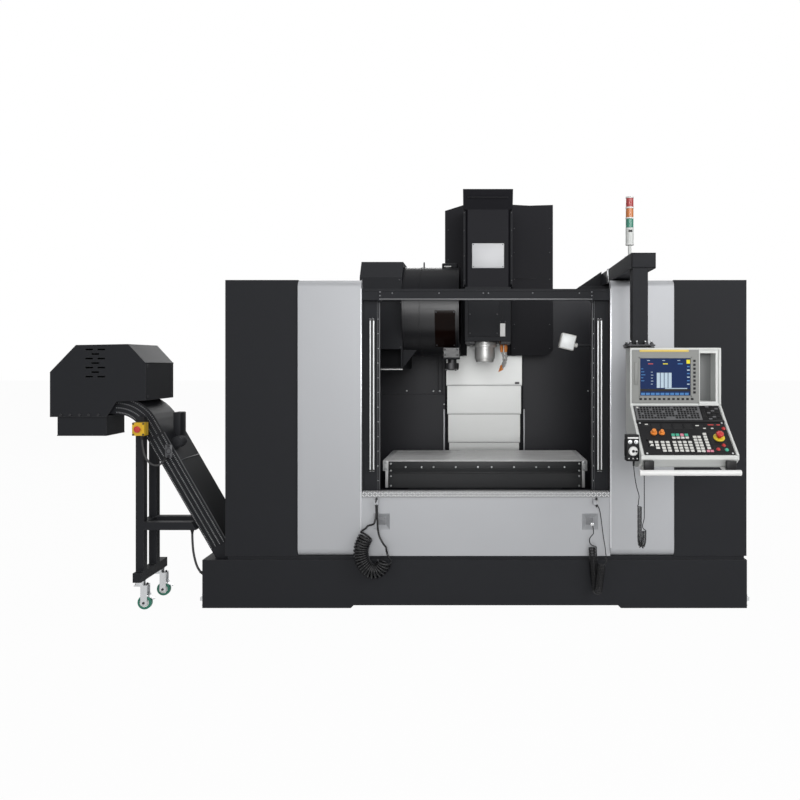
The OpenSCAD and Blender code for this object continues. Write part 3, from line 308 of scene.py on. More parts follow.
panels = bmesh.new()
for side in (-1, 1):
    x = span(side, 1667, 1671)
    low = 560 if side > 0 else 980
    for y0, y1 in ((560, 1330), (1370, 2140)):
        slab(panels, x, (y0, y1), (low, 2030), edge=1.8)
        edge = [(side * 1671, y, z) for y in (y0 + 30, y1 - 30) for z in (low + 30, 1290, 2000)]
        screws(panels, edge, (side, 0, 0), 1.5, skin=1)
        for row in range(7):
            slab(panels, span(side, 1669, 1674), (y0 + 230, y1 - 230),
                 (low + 110 + 26 * row, low + 120 + 26 * row), edge=2, skin=1)
        turned(panels, (side * 1671, y0 + 60, 1640), (side, 0, 0),
               ((0, 5), (6, 5), (6, 3), (20, 3), (22, 1), (22, 0)), 20, 1)
slab(panels, (-1645, -1225), (2249, 2254), (460, 2040), edge=1.8)
screw_grid(panels, (-1615, -1255), 2254, (500, 1250, 2000), 1.5, axis=BACK)
for row in range(9):
    slab(panels, (-1565, -1305), (2252, 2257), (600 + 28 * row, 611 + 28 * row), edge=2, skin=1)
piece(panels, "service_panels", (charcoal, black_zinc), "machine")

# Front covers: two rolled sheets in silver metallic lacquer over the cabinets' inner halves, each with
# a bright anodised strip along the edge towards the doors.
silver = finish_of("silver_lacquer", (0.40, 0.408, 0.425), 0.42, metal=0.25, gloss=0.4, grain=700, bump=0.03,
                   mottle=0.04, edge=0.003)
dress(silver, "front_covers", "front_apron")
anodised = finish_of("anodised_strip", (0.72, 0.73, 0.75), 0.3, metal=0.85, grain=90, bump=0.03,
                     stretch=(1, 1, 0.02))
strips = bmesh.new()
for side in (-1, 1):
    slab(strips, span(side, 794, 800), (-15, 39), (400, 2056), edge=1.4)
piece(strips, "cover_strips", anodised, "machine")

# Apron: silver sheet below the doors with two square cable recesses and a bracket hook at each side.
# A small louvred plug closes the back of each recess, and an air coupling sits in the right one.
recess_lining = finish_of("recess_lining", (0.2, 0.205, 0.215), 0.5)
linings = bmesh.new()
for side in (-1, 1):
    x = side * 667
    slab(linings, (x - 24, x + 24), (20, 26), (541, 589), edge=2)
    screw_grid(linings, (x - 17, x + 17), 20, (548, 582), 0.6, 0)
    for dz in (-8, 0, 8):
        slab(linings, (x - 12, x + 12), (17, 22), (563.5 + dz, 566.5 + dz), edge=1)
piece(linings, "recess_linings", recess_lining, "machine")
chrome = finish_of("bright_chrome", (0.66, 0.67, 0.68), 0.16, metal=1.0, grain=60, bump=0.02)
coupling = bmesh.new()
turned(coupling, (681, 22, 548), FRONT,
       ((0, 0), (11, 0), (11, 9), (9, 10), (9, 13), (12, 14), (12, 26), (10, 28), (7, 29), (7, 40), (5, 42),
        (0, 42)), 16)
piece(coupling, "air_coupling", chrome, "machine")

# Tread plate: rolled aluminium chequer plate folded over the apron, with raised lozenges in
# alternating directions; their tops are lighter, partly from wear and partly as a painted highlight.
chequer = finish_of("chequer_plate", (0.25, 0.255, 0.26), 0.42, metal=0.4, grain=240, bump=0.08, mottle=0.1,
                    edge=0.002)
dress(chequer, "tread_plate")
# The lozenge tops are far lighter than the plate: wear plus a painted highlight where light catches them.
lozenge_worn_and_highlit = finish_of("chequer_tops_worn_and_highlit", (0.74, 0.745, 0.75), 0.3, metal=0.5, grain=240)
bumps = bmesh.new()
GRAIN_L, GRAIN_W, GRAIN_H, PITCH = 11.0, 3.2, 1.6, 17.0
for i in range(93):
    x = -783 + PITCH * i
    for row in range(5):
        lean = math.radians(45 if (i + row) % 2 else -45)
        spots = ((x, 33 - 17 * row, 757, 0) if row < 3 else (x, -14, 749 - 16 * (row - 3), 1))
        flat = Matrix.Rotation(lean, 4, "Z")
        if spots[3]:
            flat = Matrix.Rotation(math.pi / 2, 4, "X") @ flat
        spot = Matrix.Translation(at(*spots[:3])) @ flat @ Matrix.Diagonal(
            (GRAIN_L / 1000, GRAIN_W / 1000, GRAIN_H / 1000, 1))
        bmesh.ops.create_icosphere(bumps, subdivisions=1, radius=1, matrix=spot)
piece(bumps, "tread_lozenges", lozenge_worn_and_highlit, "machine", sharp=60)

# Curly hoses and cord: moulded rubber helices that hang in loops from the hooks and the pendant.
# Each runs straight along its lead, swings out to the coil's radius, and winds at an even pitch.
glossy_rubber = finish_of("glossy_rubber", (0.009, 0.009, 0.01), 0.25, gloss=0.3, grain=500, bump=0.06)


def smooth_route(route, step=0.004):
    """Points at even steps on one smooth curve through the route's points."""
    ends = [2 * route[0] - route[1], *route, 2 * route[-1] - route[-2]]
    fine = []
    for a, b, c, d in zip(ends, ends[1:], ends[2:], ends[3:]):
        for k in range(24):
            t = k / 24
            fine.append(0.5 * (2 * b + (c - a) * t + (2 * a - 5 * b + 4 * c - d) * t * t
                               + (3 * b - a - 3 * c + d) * t ** 3))
    fine.append(route[-1])
    even, left = [fine[0]], step
    for p, q in zip(fine, fine[1:]):
        gap = (q - p).length
        while gap >= left:
            p = p.lerp(q, left / gap)
            gap -= left
            even.append(p.copy())
            left = step
        left -= gap
    even.append(fine[-1])
    return even


def wound(route, first, last, radius, pitch, sweep):
    """A hose wound about its route between two of the route's points, straight outside them."""
    spine = smooth_route(route, 0.002)
    run = [0.0]
    for p, q in zip(spine, spine[1:]):
        run.append(run[-1] + (q - p).length)

    def reach(point):
        return run[min(range(len(spine)), key=lambda i: (spine[i] - point).length)]

    start, end = reach(route[first]), reach(route[last])
    before, after = reach(route[first - 1]), reach(route[last + 1])
    way = (spine[1] - spine[0]).normalized()
    across = way.orthogonal().normalized()
    frames = []
    for i, p in enumerate(spine):
        nxt = spine[min(i + 1, len(spine) - 1)] - spine[max(i - 1, 0)]
        nxt.normalize()
        across = way.rotation_difference(nxt) @ across
        way = nxt
        frames.append((p, across.copy(), way.cross(across)))
    steep = math.atan(2 * math.pi * radius / pitch)
    points, s, turn, i = [], 0.0, 0.0, 0
    while s < run[-1]:
        while i < len(run) - 2 and run[i + 1] < s:
            i += 1
        share = (s - run[i]) / max(run[i + 1] - run[i], 1e-9)
        p, u, v = (a.lerp(b, share) for a, b in zip(frames[i], frames[i + 1]))
        rise = min((s - before) / (start - before), (after - s) / (after - end), 1.0)
        rise = max(rise, 0.0)
        out = radius * rise * rise * (3 - 2 * rise)
        points.append(p + out * (math.cos(turn) * u + math.sin(turn) * v))
        depth = max(0.0, min(s - start, end - s))
        slope = min(steep, math.asin(min(1.0, depth / sweep)))
        length = 0.006 if slope < 0.05 else max(0.0012, min(0.006, 2 * math.pi * radius / 15))
        s += max(length * math.cos(slope), 0.00005)
        turn += length * math.sin(slope) / radius
    points.append(spine[-1])
    return points


def hose(name, points, thick, body, material):
    """A round hose along points, as one open curve."""
    line = bpy.data.curves.new(name, "CURVE")
    line.dimensions = "3D"
    line.bevel_depth, line.bevel_resolution = thick / 2, 3
    line.use_fill_caps = True
    spline = line.splines.new("POLY")
    spline.points.add(len(points) - 1)
    for knot, p in zip(spline.points, points):
        knot.co = (*p, 1)
    spline.use_smooth = True
    line.materials.append(material)
    made = put(name, line)
    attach(made, body)
    return made


def route_of(*spots):
    return [Vector([n / 1000 for n in spot]) + SHIFT for spot in spots]


WASH = route_of((-700, -24, 679), (-698, -26, 620), (-708, -40, 565), (-723, -62, 525), (-752, -64, 492),
                (-776, -66, 448), (-790, -66, 392), (-777, -66, 323), (-733, -66, 272), (-682, -66, 272),
                (-644, -66, 317), (-641, -66, 375), (-630, -60, 410), (-656, -40, 440), (-684, -30, 500),
                (-692, -26, 600), (-694, -24, 679))
wash_points = wound(WASH, 3, 11, 0.043, 0.0165, 0.050)
wash = hose("wash_hose_coil", wash_points, 0.0125, "machine", glossy_rubber)
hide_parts("wash_hose")
AIR = route_of((681, 10, 548), (681, -24, 540), (682, -46, 505), (676, -46, 456), (680, -46, 336),
               (689, -50, 209), (697, -64, 150), (706, -84, 160), (714, -98, 241), (733, -98, 355),
               (752, -90, 385), (742, -50, 494), (726, -28, 633), (708, -24, 679))
air_points = wound(AIR, 3, 9, 0.0242, 0.0098, 0.040)
air = hose("air_hose_coil", air_points, 0.0056, "machine", glossy_rubber)
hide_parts("air_hose")
CORD = route_of((798, -730, 1055), (800, -730, 1000), (812, -728, 920), (828, -726, 860), (831, -726, 820),
                (831, -726, 700), (832, -726, 610), (843, -726, 580), (855, -726, 612), (856, -726, 690),
                (857, -726, 740), (857, -726, 860), (857, -726, 1017))
cord_points = wound(CORD, 4, 9, 0.0105, 0.0068, 0.022)
curly_cord = hose("hand_wheel_curly_cord", cord_points, 0.0048, "pendant", glossy_rubber)
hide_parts("hand_wheel_cord")

# Guns on the hooks: a black wash gun at the left and an air blow gun at the right, each hung by its
# trigger guard, with a knurled collar where its hose is pressed in.
gun_plastic = finish_of("gun_plastic", (0.016, 0.016, 0.017), 0.38, grain=260, bump=0.12)
white_tip = finish_of("white_tip", (0.72, 0.72, 0.70), 0.4, grain=260)
for name, x, tips in (("wash_gun", -697, gun_plastic), ("air_gun", 706, white_tip)):
    gun = bmesh.new()
    turned(gun, (x, -16, 686), UP, ((0, 0), (7, 0), (8, 3), (8, 14), (7, 26), (6.5, 34), (0, 36)), 16)
    turned(gun, (x, -24, 672), UP, ((0, 0), (8, 0), (9, 2), (9, 9), (7.5, 11), (0, 11)), 12)
    slab(gun, (x - 5, x + 5), (-23, -12), (660, 694), edge=3)
    slab(gun, (x - 4, x + 4), (-45, -18), (700, 711), edge=3.5)
    turned(gun, (x, -44, 705.5), (0, -0.96, -0.28),
           ((0, 0), (5, 0), (5, 6), (3.2, 8), (2.6, 26), (0, 26)), 12, 1)
    piece(gun, name, (gun_plastic, tips), "machine")

# Door rails: a folded header over the opening and a sill under it, with a bright running strip along
# the header, joint screws in a row, and a cut-out gusset plate at each end.
dress(charcoal, "door_rails", "arm_bracket")
header = bmesh.new()
rail_bar = finish_of("rail_bar", (0.1, 0.102, 0.106), 0.45, metal=0.3, grain=80, bump=0.03, stretch=(0.05, 1, 1))
slab(header, (-676, 676), (4, 12), (1984, 1995), edge=2.2)
slab(header, (-788, 788), (7, 11), (2040, 2048), edge=1, skin=2)
screws(header, [(x, 10, 2029) for x in (-600, -300, -16, 16, 300, 600)], FRONT, 0.6, 1)
slab(header, (-3, 3), (6, 12), (1986, 2055), edge=0.8, skin=2)
for side in (-1, 1):
    for y in (14, 28):
        gusset = bmesh.new()
        corners = [gusset.verts.new(at(side * x, y, z)) for x, z in ((676, 1984), (676, 1872), (590, 1984))]
        plate = gusset.faces.new(corners)
        bmesh.ops.inset_individual(gusset, faces=[plate], thickness=0.014)
        bmesh.ops.delete(gusset, geom=[plate], context="FACES_ONLY")
        bmesh.ops.solidify(gusset, geom=gusset.faces[:], thickness=0.004)
        add(header, gusset, 0)
    slab(header, span(side, 668, 690), (8, 34), (1976, 2052), edge=2, skin=2)
    screw_grid(header, (side * 679,), 8, (1990, 2012, 2036), 0.6)
piece(header, "header_trim", (rail_bar, recess_lining, charcoal), "machine")

# Inner walls: coated sheets that close the work space behind the table, held by zinc screws, with a
# lapped seam across the left one and two bent strips beside the telescopic cover.
wall_coat = finish_of("wall_coat", (0.0155, 0.016, 0.021), 0.46, gloss=0.3, grain=380, bump=0.1, edge=0.004,
                      rub=0.02)
dress(wall_coat, "inner_walls")
walls = bmesh.new()
slab(walls, (-1620, -338), (1726, 1731), (1306, 1312), edge=1)
slab(walls, (-400, -394), (1726, 1731), (1312, 2060), edge=1)
slab(walls, (-366, -360), (1726, 1731), (1312, 2060), edge=1)
SPOTS = ((-669, 1336), (-437, 1336), (-384, 1336), (-346, 1220), (-1000, 1336), (-1300, 1336), (-1500, 1336),
         (900, 1336), (1200, 1336), (1500, 1336))
screws(walls, [(x, 1730, z) for x, z in SPOTS], FRONT, 0.9, 1)
for side in (-1, 1):
    slab(walls, span(side, 338, 352), (1700, 1731), (560, 1180), edge=2, skin=2)
piece(walls, "wall_trim", (wall_coat, zinc, silver), "machine")

# Doors: two coated sliding leaves, each with a clear pane in a rubber seal, a bright bar handle with a
# dark insert along its middle, and a thin bent edge along the leading stile.
dress(charcoal, "left_door", "right_door")
handle_steel = finish_of("handle_steel", (0.62, 0.63, 0.64), 0.4, metal=0.5, grain=80, bump=0.01)
dress(handle_steel, "left_door_handle", "right_door_handle")
pane_glass = bpy.data.materials.new("pane_glass")
pane_glass.use_nodes = True
tree = pane_glass.node_tree
face = tree.nodes["Principled BSDF"]
smear = node(tree, "ShaderNodeTexNoise", {"Scale": 9.0})
smear_level = node(tree, "ShaderNodeMapRange", {"To Min": 0.02, "To Max": 0.09})
smear_place = node(tree, "ShaderNodeTexCoord")
wire((smear_place, "Object", smear, "Vector"), (smear, "Fac", smear_level, "Value"),
     (smear_level, 0, face, "Roughness"))
face.inputs["Base Color"].default_value = (0.86, 0.9, 0.9, 1)
face.inputs["Transmission Weight"].default_value = 1.0
face.inputs["IOR"].default_value = 1.2
dress(pane_glass, "left_door_pane", "right_door_pane")
seal_rubber = finish_of("seal_rubber", (0.01, 0.01, 0.01), 0.55, bump=0.08)
stile_edge = finish_of("stile_edge", (0.075, 0.077, 0.082), 0.4, metal=0.3, grain=200, bump=0.04)
for side, door in ((-1, "left_door"), (1, "right_door")):
    trim = bmesh.new()
    slab(trim, span(side, 723.5, 738.5), (11.2, 13), (886, 1862), edge=0.5)
    for z in (884, 1851):
        slab(trim, span(side, 716, 746), (12, 28), (z, z + 13), edge=3)
    for y0, y1 in ((52, 64), (76, 88)):
        for x0, x1, z0, z1 in ((800, 810, 1076, 1928), (1439, 1449, 1076, 1928), (800, 1449, 1076, 1086),
                               (800, 1449, 1918, 1928)):
            slab(trim, sorted((side * x0, side * x1)), (y0, y1), (z0, z1), edge=2.5)
    slab(trim, span(side, 685.5, 692), (47, 92), (760, 1991), edge=1.5, skin=1)
    slab(trim, span(side, 700, 703), (50, 54), (760, 1991), edge=0.8, skin=1)
    screws(trim, [(side * 697, 53, z) for z in range(820, 1960, 95)], FRONT, 0.35, 2, 8)
    screws(trim, [(side * x, 53, z) for x in (840, 1120, 1400) for z in (800, 1030)], FRONT, 0.7, 2)
    piece(trim, door + "_trim", (seal_rubber, stile_edge, zinc), door)

# Bed, saddle and table: grey castings that slide on each other, under a ground table with T-slots.
# The table's long sides are painted dark behind a bolted wiper ledge, and its ends have pale guards.
cast_paint = finish_of("cast_paint", (0.27, 0.28, 0.29), 0.5, grain=120, bump=0.25, edge=0.006)
dress(cast_paint, "bed")
ground_iron = finish_of("ground_iron", (0.78, 0.78, 0.78), 0.38, grain=16, bump=0.02, mottle=0.28,
                        stretch=(0.02, 1, 1), edge=0.0015, rub=0.15)
dress(ground_iron, "table")
table_dark = finish_of("table_dark", (0.03, 0.031, 0.033), 0.48, gloss=0.3, grain=240, bump=0.12, edge=0.003,
                       rub=0.03)
dress(table_dark, "table_skirt")
ledge = bmesh.new()
for y, way in ((650, -1), (1300, 1)):
    out = [y + way * d for d in (0, 4, 10)]
    slab(ledge, (-699, 699), sorted((out[0], out[1])), (784, 867), edge=1.5)
    slab(ledge, (-699, 699), sorted((out[0], out[2])), (783, 790), edge=2)
    slab(ledge, (-699, 699), sorted((out[0], out[2] - way * 2)), (816, 820), edge=1.5)
    bolts = [(x, out[1], 826) for x in (-575, -460, -373, -212, -52, 48, 210, 370, 462, 575)]
    corners = [(side * 682, out[0] + way * 0.2, z) for side in (-1, 1) for z in (690, 760)]
    screws(ledge, bolts + corners, (0, way, 0), 0.9, 1)
    screws(ledge, [(side * 682, out[1], z) for side in (-1, 1) for z in (800, 850)], (0, way, 0), 0.9, 1)
guard_pale = finish_of("guard_pale", (0.72, 0.725, 0.73), 0.4, metal=0.1, grain=240)
for side in (-1, 1):
    slab(ledge, span(side, 700.5, 741), (647, 1303), (797, 873), edge=4, skin=2)
    slab(ledge, span(side, 703, 724), (649, 690), (677, 800), edge=3, skin=2)
    screw_grid(ledge, (side * 720,), 647, (812, 858), 1.2)
piece(ledge, "table_edging", (table_dark, zinc, guard_pale), "table")

# Spindle head: a coated casting with a let-in front panel, the tall motor cover above it with a bare
# data plate, and deep guard plates behind; all are held by small dark screws along their edges.
guard_coat = finish_of("guard_coat", (0.0115, 0.0115, 0.0145), 0.55, gloss=0.12, grain=400, bump=0.1, edge=0.004,
                       rub=0.02)
dress(charcoal, "spindle_head")
dress(guard_coat, "motor_cover", "head_guard")
plate_silver = finish_of("plate_silver", (0.55, 0.555, 0.57), 0.5, metal=0.2, grain=60, bump=0.03,
                         stretch=(0.03, 1, 1))
plate_white = finish_of("plate_white", (0.78, 0.78, 0.77), 0.45, grain=200, bump=0.03)
head = bmesh.new()
slab(head, (-123, 104), (756, 761.5), (1775, 2108), edge=2)
screw_grid(head, (-110, 90), 756, (1800, 1940, 2090), 0.6)
screw_grid(head, (113, 150), 758.5, (1884,), 0.5)
slab(head, (112, 150), (755, 760), (1776, 1872), edge=1.5, skin=3)
slab(head, (118, 144), (753.5, 756), (1784, 1866), edge=1.2, skin=3)
slab(head, (-95, 141), (753.5, 760), (2281, 2464), edge=4, skin=2)
screw_grid(head, (-86, 132), 753.5, (2290, 2455), 0.5)
for side in (-1, 1):
    slab(head, sorted((22 + side * 166, 22 + side * 181)), (757, 762), (2160, 2705), edge=1.5)
    screws(head, [(22 + side * 175, 757, z) for z in (2190, 2370, 2560, 2690)], FRONT, 0.4, 1)
    slab(head, sorted((22 + side * 96, 22 + side * 168)), (770, 1180), (1718, 1742), edge=4, skin=4)
    screws(head, [(22 + side * 132, 770, 1730)], FRONT, 0.8, 1)
slab(head, (-128, 172), (700.5, 706), (2790, 2796), edge=1)
slab(head, (268, 429), (1476, 1481), (2281, 2286), edge=1)
screw_grid(head, (250, 545), 1480, (1700, 1900, 2100, 2276, 2500, 2700), 0.5)
screws(head, [(-305, 1560, z) for z in (1700, 1950, 2200, 2450, 2700)], FRONT, 0.5, 1)
piece(head, "head_trim", (charcoal, stile_edge, plate_silver, plate_white, table_dark), "head")

# Spindle: a ground and polished steel cartridge with a bolted flange, a grooved nose and two drive keys
# beside the tool bore.
polished = finish_of("polished_steel", (0.62, 0.62, 0.61), 0.34, metal=0.45, grain=70, bump=0.02,
                     stretch=(1, 1, 20))
nose = bmesh.new()
turned(nose, (0, 975, 1587), UP,
       ((22.2, 60), (22.2, 1.5), (24, 0), (62, 0), (66, 3), (68, 8), (68, 20), (71, 22), (76, 23), (77, 26),
        (77, 46), (75, 47), (75, 50), (77, 51), (77, 92), (74.5, 93), (74.5, 97), (77, 98), (77, 113), (80, 115),
        (92, 115), (94, 117), (94, 131), (92, 133), (92, 136), (94, 138), (94, 152), (92, 154.6), (65, 154.6),
        (65, 264), (63, 265), (0, 265), (0, 60), (22.2, 60)), 64)
for side in (-1, 1):
    slab(nose, span(side, 26, 52), (967, 983), (1581.5, 1592), edge=1.5, skin=1)
for k in range(8):
    a = 2 * math.pi * (k + 0.5) / 8
    screws(nose, [(86 * math.cos(a), 975 + 86 * math.sin(a), 1702)], DOWN, 0.8, 1)
nose_piece = piece(nose, "spindle_cartridge", (polished, zinc), "spindle", sharp=25)
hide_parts("spindle")

# Coolant nozzles: orange screw fittings, jointed grey segments that snap over each other, and a tapered
# orange tip at each end; they hang in the bends the operator last left them in.
nozzle_orange = finish_of("nozzle_orange", (0.78, 0.25, 0.04), 0.4, grain=220)
nozzle_grey = finish_of("nozzle_grey", (0.42, 0.42, 0.41), 0.4, grain=220)
nozzles = bmesh.new()
for x, y, bend, tip in (
    (158, 899, ((0, -78), (4, -104), (4, -130), (-2, -156), (-10, -180), (-26, -204)), (-52, -226)),
    (128, 929, ((0, -78), (12, -100), (16, -130), (14, -160), (4, -184)), (-14, -208)),
):
    turned(nozzles, (x, y, 1742), DOWN,
           ((0, 0), (14, 0), (14, 8), (11, 10), (11, 34), (13, 36), (13, 60), (11, 66), (11, 80), (0, 80)), 18)
    way = [Vector((dx, 0, dz)) for dx, dz in (*bend, tip)]
    for p, q in zip(way, way[1:-1]):
        turned(nozzles, (x + p.x, y, 1742 + p.z), (q - p).normalized(),
               ((0, -2), (8, -2), (10, 2), (10, 10), (7, 15), (6.5, 22), (8.5, 26), (0, 27)), 16, 1)
    turned(nozzles, (x + way[-2].x, y, 1742 + way[-2].z), (way[-1] - way[-2]).normalized(),
           ((0, -3), (9, -3), (11, 2), (11, 12), (7, 20), (4, 36), (2.6, 36), (2.6, 30), (0, 30)), 16)
jets = piece(nozzles, "jointed_nozzles", (nozzle_orange, nozzle_grey), "head")
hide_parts("coolant_nozzles")

# Telescopic cover: four folded sheets over the Z ways, each a step narrower than the one above, brushed
# across and ending in a dark wiper lip.
brushed_cover = finish_of("brushed_cover", (0.66, 0.67, 0.66), 0.36, metal=0.25, grain=30, bump=0.06, mottle=0.05,
                          stretch=(0.15, 1, 6))
dress(brushed_cover, "z_cover_top", "z_cover_upper", "z_cover_lower", "z_cover_foot")
wiper_grey = finish_of("wiper_grey", (0.09, 0.09, 0.095), 0.5, grain=200)
for n, (name, body, z) in enumerate((("top", "head", 1383), ("upper", "z_cover_upper", 1140),
                                     ("lower", "z_cover_lower", 897))):
    half, y = 322.5 - 8 * n, 1636 + 3.4 * n
    lip = bmesh.new()
    slab(lip, (-half, half), (y - 1.5, y + 1), (z, z + 4), edge=0.6)
    slab(lip, (-half, half), (y - 1.2, y + 1), (z + 9, z + 12), edge=0.5, skin=1)
    if n == 0:
        slab(lip, (262, 300), (y - 1.5, y + 1), (z + 16, z + 34), edge=0.8, skin=0)
    piece(lip, f"cover_lip_{name}", (wiper_grey, plate_silver), body)

# Tool magazine: a round hood in wrinkle paint, duller on top, with a bolted smoked window, a band over
# its seam and a lifting eye; its drive box stands at the left, and the change arm hangs from the gearbox.
wrinkle = finish_of("wrinkle_paint", (0.018, 0.0182, 0.0205), 0.32, grain=150, bump=0.5, mottle=0.2, edge=0.004)
tree = wrinkle.node_tree
spot, height = [node(tree, "ShaderNode" + kind) for kind in ("TexCoord", "SeparateXYZ")]
dull = node(tree, "ShaderNodeMapRange", {"From Min": 2.03, "From Max": 2.12, "To Min": 0.55, "To Max": 0.03})
wire((spot, "Object", height, 0), (height, "Z", dull, "Value"),
     (dull, 0, tree.nodes["Principled BSDF"], "Specular IOR Level"))
dress(wrinkle, "magazine_hood")
dress(charcoal, "magazine_drive")
smoked = finish_of("smoked_window", (0.009, 0.004, 0.003), 0.16, gloss=0.07, grain=20, bump=0.01, mottle=0.5)
dress(smoked, "magazine_window")
tool_steel = finish_of("tool_steel", (0.05, 0.05, 0.053), 0.42, metal=0.5, grain=120, edge=0.002)
dress(tool_steel, "magazine_disc", "change_arm")
HOOD_Y, HOOD_Z = 1190, 1985
hood = bmesh.new()
turned(hood, (-500, HOOD_Y, HOOD_Z), RIGHT, ((349, 0), (352.5, 0.5), (352.5, 11.5), (349, 12), (349, 0)), 72)
turned(hood, (-627, HOOD_Y, HOOD_Z), RIGHT, ((346, 2), (353, 3), (354, 8), (353, 14), (349, 16), (346, 2)), 72)
turned(hood, (-209, HOOD_Y, HOOD_Z), RIGHT, ((349, 0), (352, 1), (352, 13), (349, 14), (349, 0)), 72)
for z in (1716, 1961):
    rise = z - HOOD_Z
    out = math.sqrt(353.5 ** 2 - rise ** 2)
    screws(hood, [(x, HOOD_Y - out, z) for x in (-367, -233)], (0, -out, rise), 0.8, 1)
turned(hood, (-480, HOOD_Y, 2334), UP, ((0, -6), (14, -6), (14, 4), (6, 6), (5, 10), (0, 10)), 16, 1)
eye_ring = [(17 + 5 * math.cos(a), 5 * math.sin(a)) for a in [k * math.pi / 5 for k in range(11)]]
turned(hood, (-480, HOOD_Y, 2360), RIGHT, eye_ring, 24, 1)
slab(hood, (-336, -212), (1130, 1250), (2325, 2366), edge=9, segments=3, skin=3)
slab(hood, (-318, -262), (1126, 1132), (2334, 2344), edge=2, skin=2)
slab(hood, (-950, -625), (925, 931), (1527, 1535), edge=1.2, skin=2)
slab(hood, (-950, -625), (896, 901), (2056, 2064), edge=1.2, skin=3)
screw_grid(hood, (-930, -646), 900, (2090, 2210), 0.7)
screw_grid(hood, (-934, -641), 930, (1700, 2040), 0.7)
slab(hood, (-318, -190), (896, 901), (1606, 1622), edge=2, skin=3)
screw_grid(hood, (-300, -210), 900, (1640, 1680), 0.8)
piece(hood, "magazine_fittings", (wrinkle, stile_edge, plate_white, charcoal), "machine")
ARM_X, ARM_Y = -250, 975
jaws = bmesh.new()
for way in (-1, 1):
    for dx in (-34, 34):
        x, ends = ARM_X + dx, sorted((ARM_Y + way * 226, ARM_Y + way * 292))
        slab(jaws, (x - 9, x + 9), ends, (1526, 1536), edge=2)
        screws(jaws, [(x, ARM_Y + way * 250, 1526)], DOWN, 0.9)
    slab(jaws, (-268, -232), sorted((ARM_Y + way * 60, ARM_Y + way * 200)), (1527, 1534), edge=3)
turned(jaws, (ARM_X, ARM_Y, 1533), DOWN, ((0, 0), (34, 0), (34, 6), (26, 9), (12, 9), (10, 4), (0, 4)), 28)
piece(jaws, "gripper_jaws", tool_steel, "change_arm")

# Work light: a white lamp box on a ball joint, tilted towards the table, with a clouded lens in front
# and cooling fins cast into its back.
lamp_white = finish_of("lamp_white", (0.7, 0.7, 0.68), 0.4, grain=260, bump=0.06)
lens_cloud = finish_of("lens_cloud", (0.82, 0.84, 0.84), 0.3, gloss=0.6, grain=90, bump=0.12)
lamp_head = bmesh.new()
slab(lamp_head, (488, 586), (139, 211), (1655, 1756), edge=7, segments=3)
slab(lamp_head, (494, 580), (135, 141), (1662, 1749), edge=3, skin=1)
for k in range(6):
    slab(lamp_head, (497 + 14 * k, 502 + 14 * k), (208, 214), (1664, 1746), edge=1.5)
turned(lamp_head, (584, 175, 1695), RIGHT,
       ((0, 0), (15, 0), (16, 3), (12, 6), (10, 9), (13, 12), (15.5, 17), (15.5, 20), (12, 24), (0, 24)), 24)
bmesh.ops.rotate(lamp_head, cent=at(608, 175, 1695), matrix=Matrix.Rotation(math.radians(13), 3, "Y"),
                 verts=lamp_head.verts)
lamp_piece = piece(lamp_head, "lamp_head", (lamp_white, lens_cloud), "work_light")
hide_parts("work_light")

# Pendant arm: a hollow coated beam and post with end caps, a clamp strip at the pivot, and a bolted
# swivel flange above the case. The signal tower on it has ribbed lenses between white rings.
dress(charcoal, "pendant_arm")
pale_coat = finish_of("pale_coat", (0.64, 0.655, 0.64), 0.42, grain=420, bump=0.12, mottle=0.04, edge=0.005)
dress(pale_coat, "pendant_case", "stack_light")
arm = bmesh.new()
slab(arm, (829, 965), (-525, -521), (2125, 2210), edge=6, segments=3)
slab(arm, (829, 965), (557, 563), (2125, 2210), edge=6, segments=3)
for x in (819, 855, 903, 939):
    for y in (-540, -420):
        turned(arm, (x, y, 1685), UP, ((0, 18), (6, 18), (7, 16), (7, 9), (12, 9), (12, 0), (0, 0)), 6, 1)
        turned(arm, (x, y, 1702), UP, ((0, 6), (4, 6), (5, 4), (5, 0), (0, 0)), 10, 2)
slab(arm, (801, 957), (-558, -402), (1677.5, 1687), edge=2, skin=1)
slab(arm, (824, 830), (250, 300), (2118, 2217), edge=2, skin=2)
slab(arm, (964, 970), (250, 300), (2118, 2217), edge=2, skin=2)
slab(arm, (824, 970), (250, 300), (2210, 2216), edge=2, skin=2)
piece(arm, "arm_fittings", (charcoal, black_zinc, zinc), "pendant_arm")
TOWER_X, TOWER_Y = 861, -300
tower = bmesh.new()
RIBS = [(22.6 + 0.7 * (k % 2), 1 + 52 * k / 16) for k in range(17)]
for z, skin in ((2392, 2), (2454, 1), (2516, 0)):
    turned(tower, (TOWER_X, TOWER_Y, z), UP, ((21, 0.5), *RIBS, (21, 53.5)), 32, skin)
turned(tower, (TOWER_X, TOWER_Y, 2570), UP, ((24.4, 0), (24.4, 4), (22, 7.4), (12, 7.9), (0, 8)), 32, 3)
for z in (2446, 2508):
    turned(tower, (TOWER_X, TOWER_Y, z), UP, ((24, 0), (24.8, 1), (24.8, 7), (24, 8)), 32, 3)
turned(tower, (TOWER_X, TOWER_Y, 2290), UP, ((24, 0), (24.8, 1), (24.8, 5), (24, 6)), 32, 3)
slab(tower, (850, 873), (-325.5, -318), (2364, 2378), edge=1.5, skin=4)
lens_red = finish_of("lens_red", (0.36, 0.012, 0.012), 0.16, gloss=0.6, grain=60, bump=0.03, mottle=0.25)
lens_amber = finish_of("lens_amber", (0.55, 0.16, 0.02), 0.16, gloss=0.6, grain=60, bump=0.03, mottle=0.2)
lens_green = finish_of("lens_green", (0.008, 0.20, 0.13), 0.16, gloss=0.6, grain=60, bump=0.03, mottle=0.25)
piece(tower, "signal_lenses", (lens_red, lens_amber, lens_green, plate_white, seal_rubber), "pendant_arm")

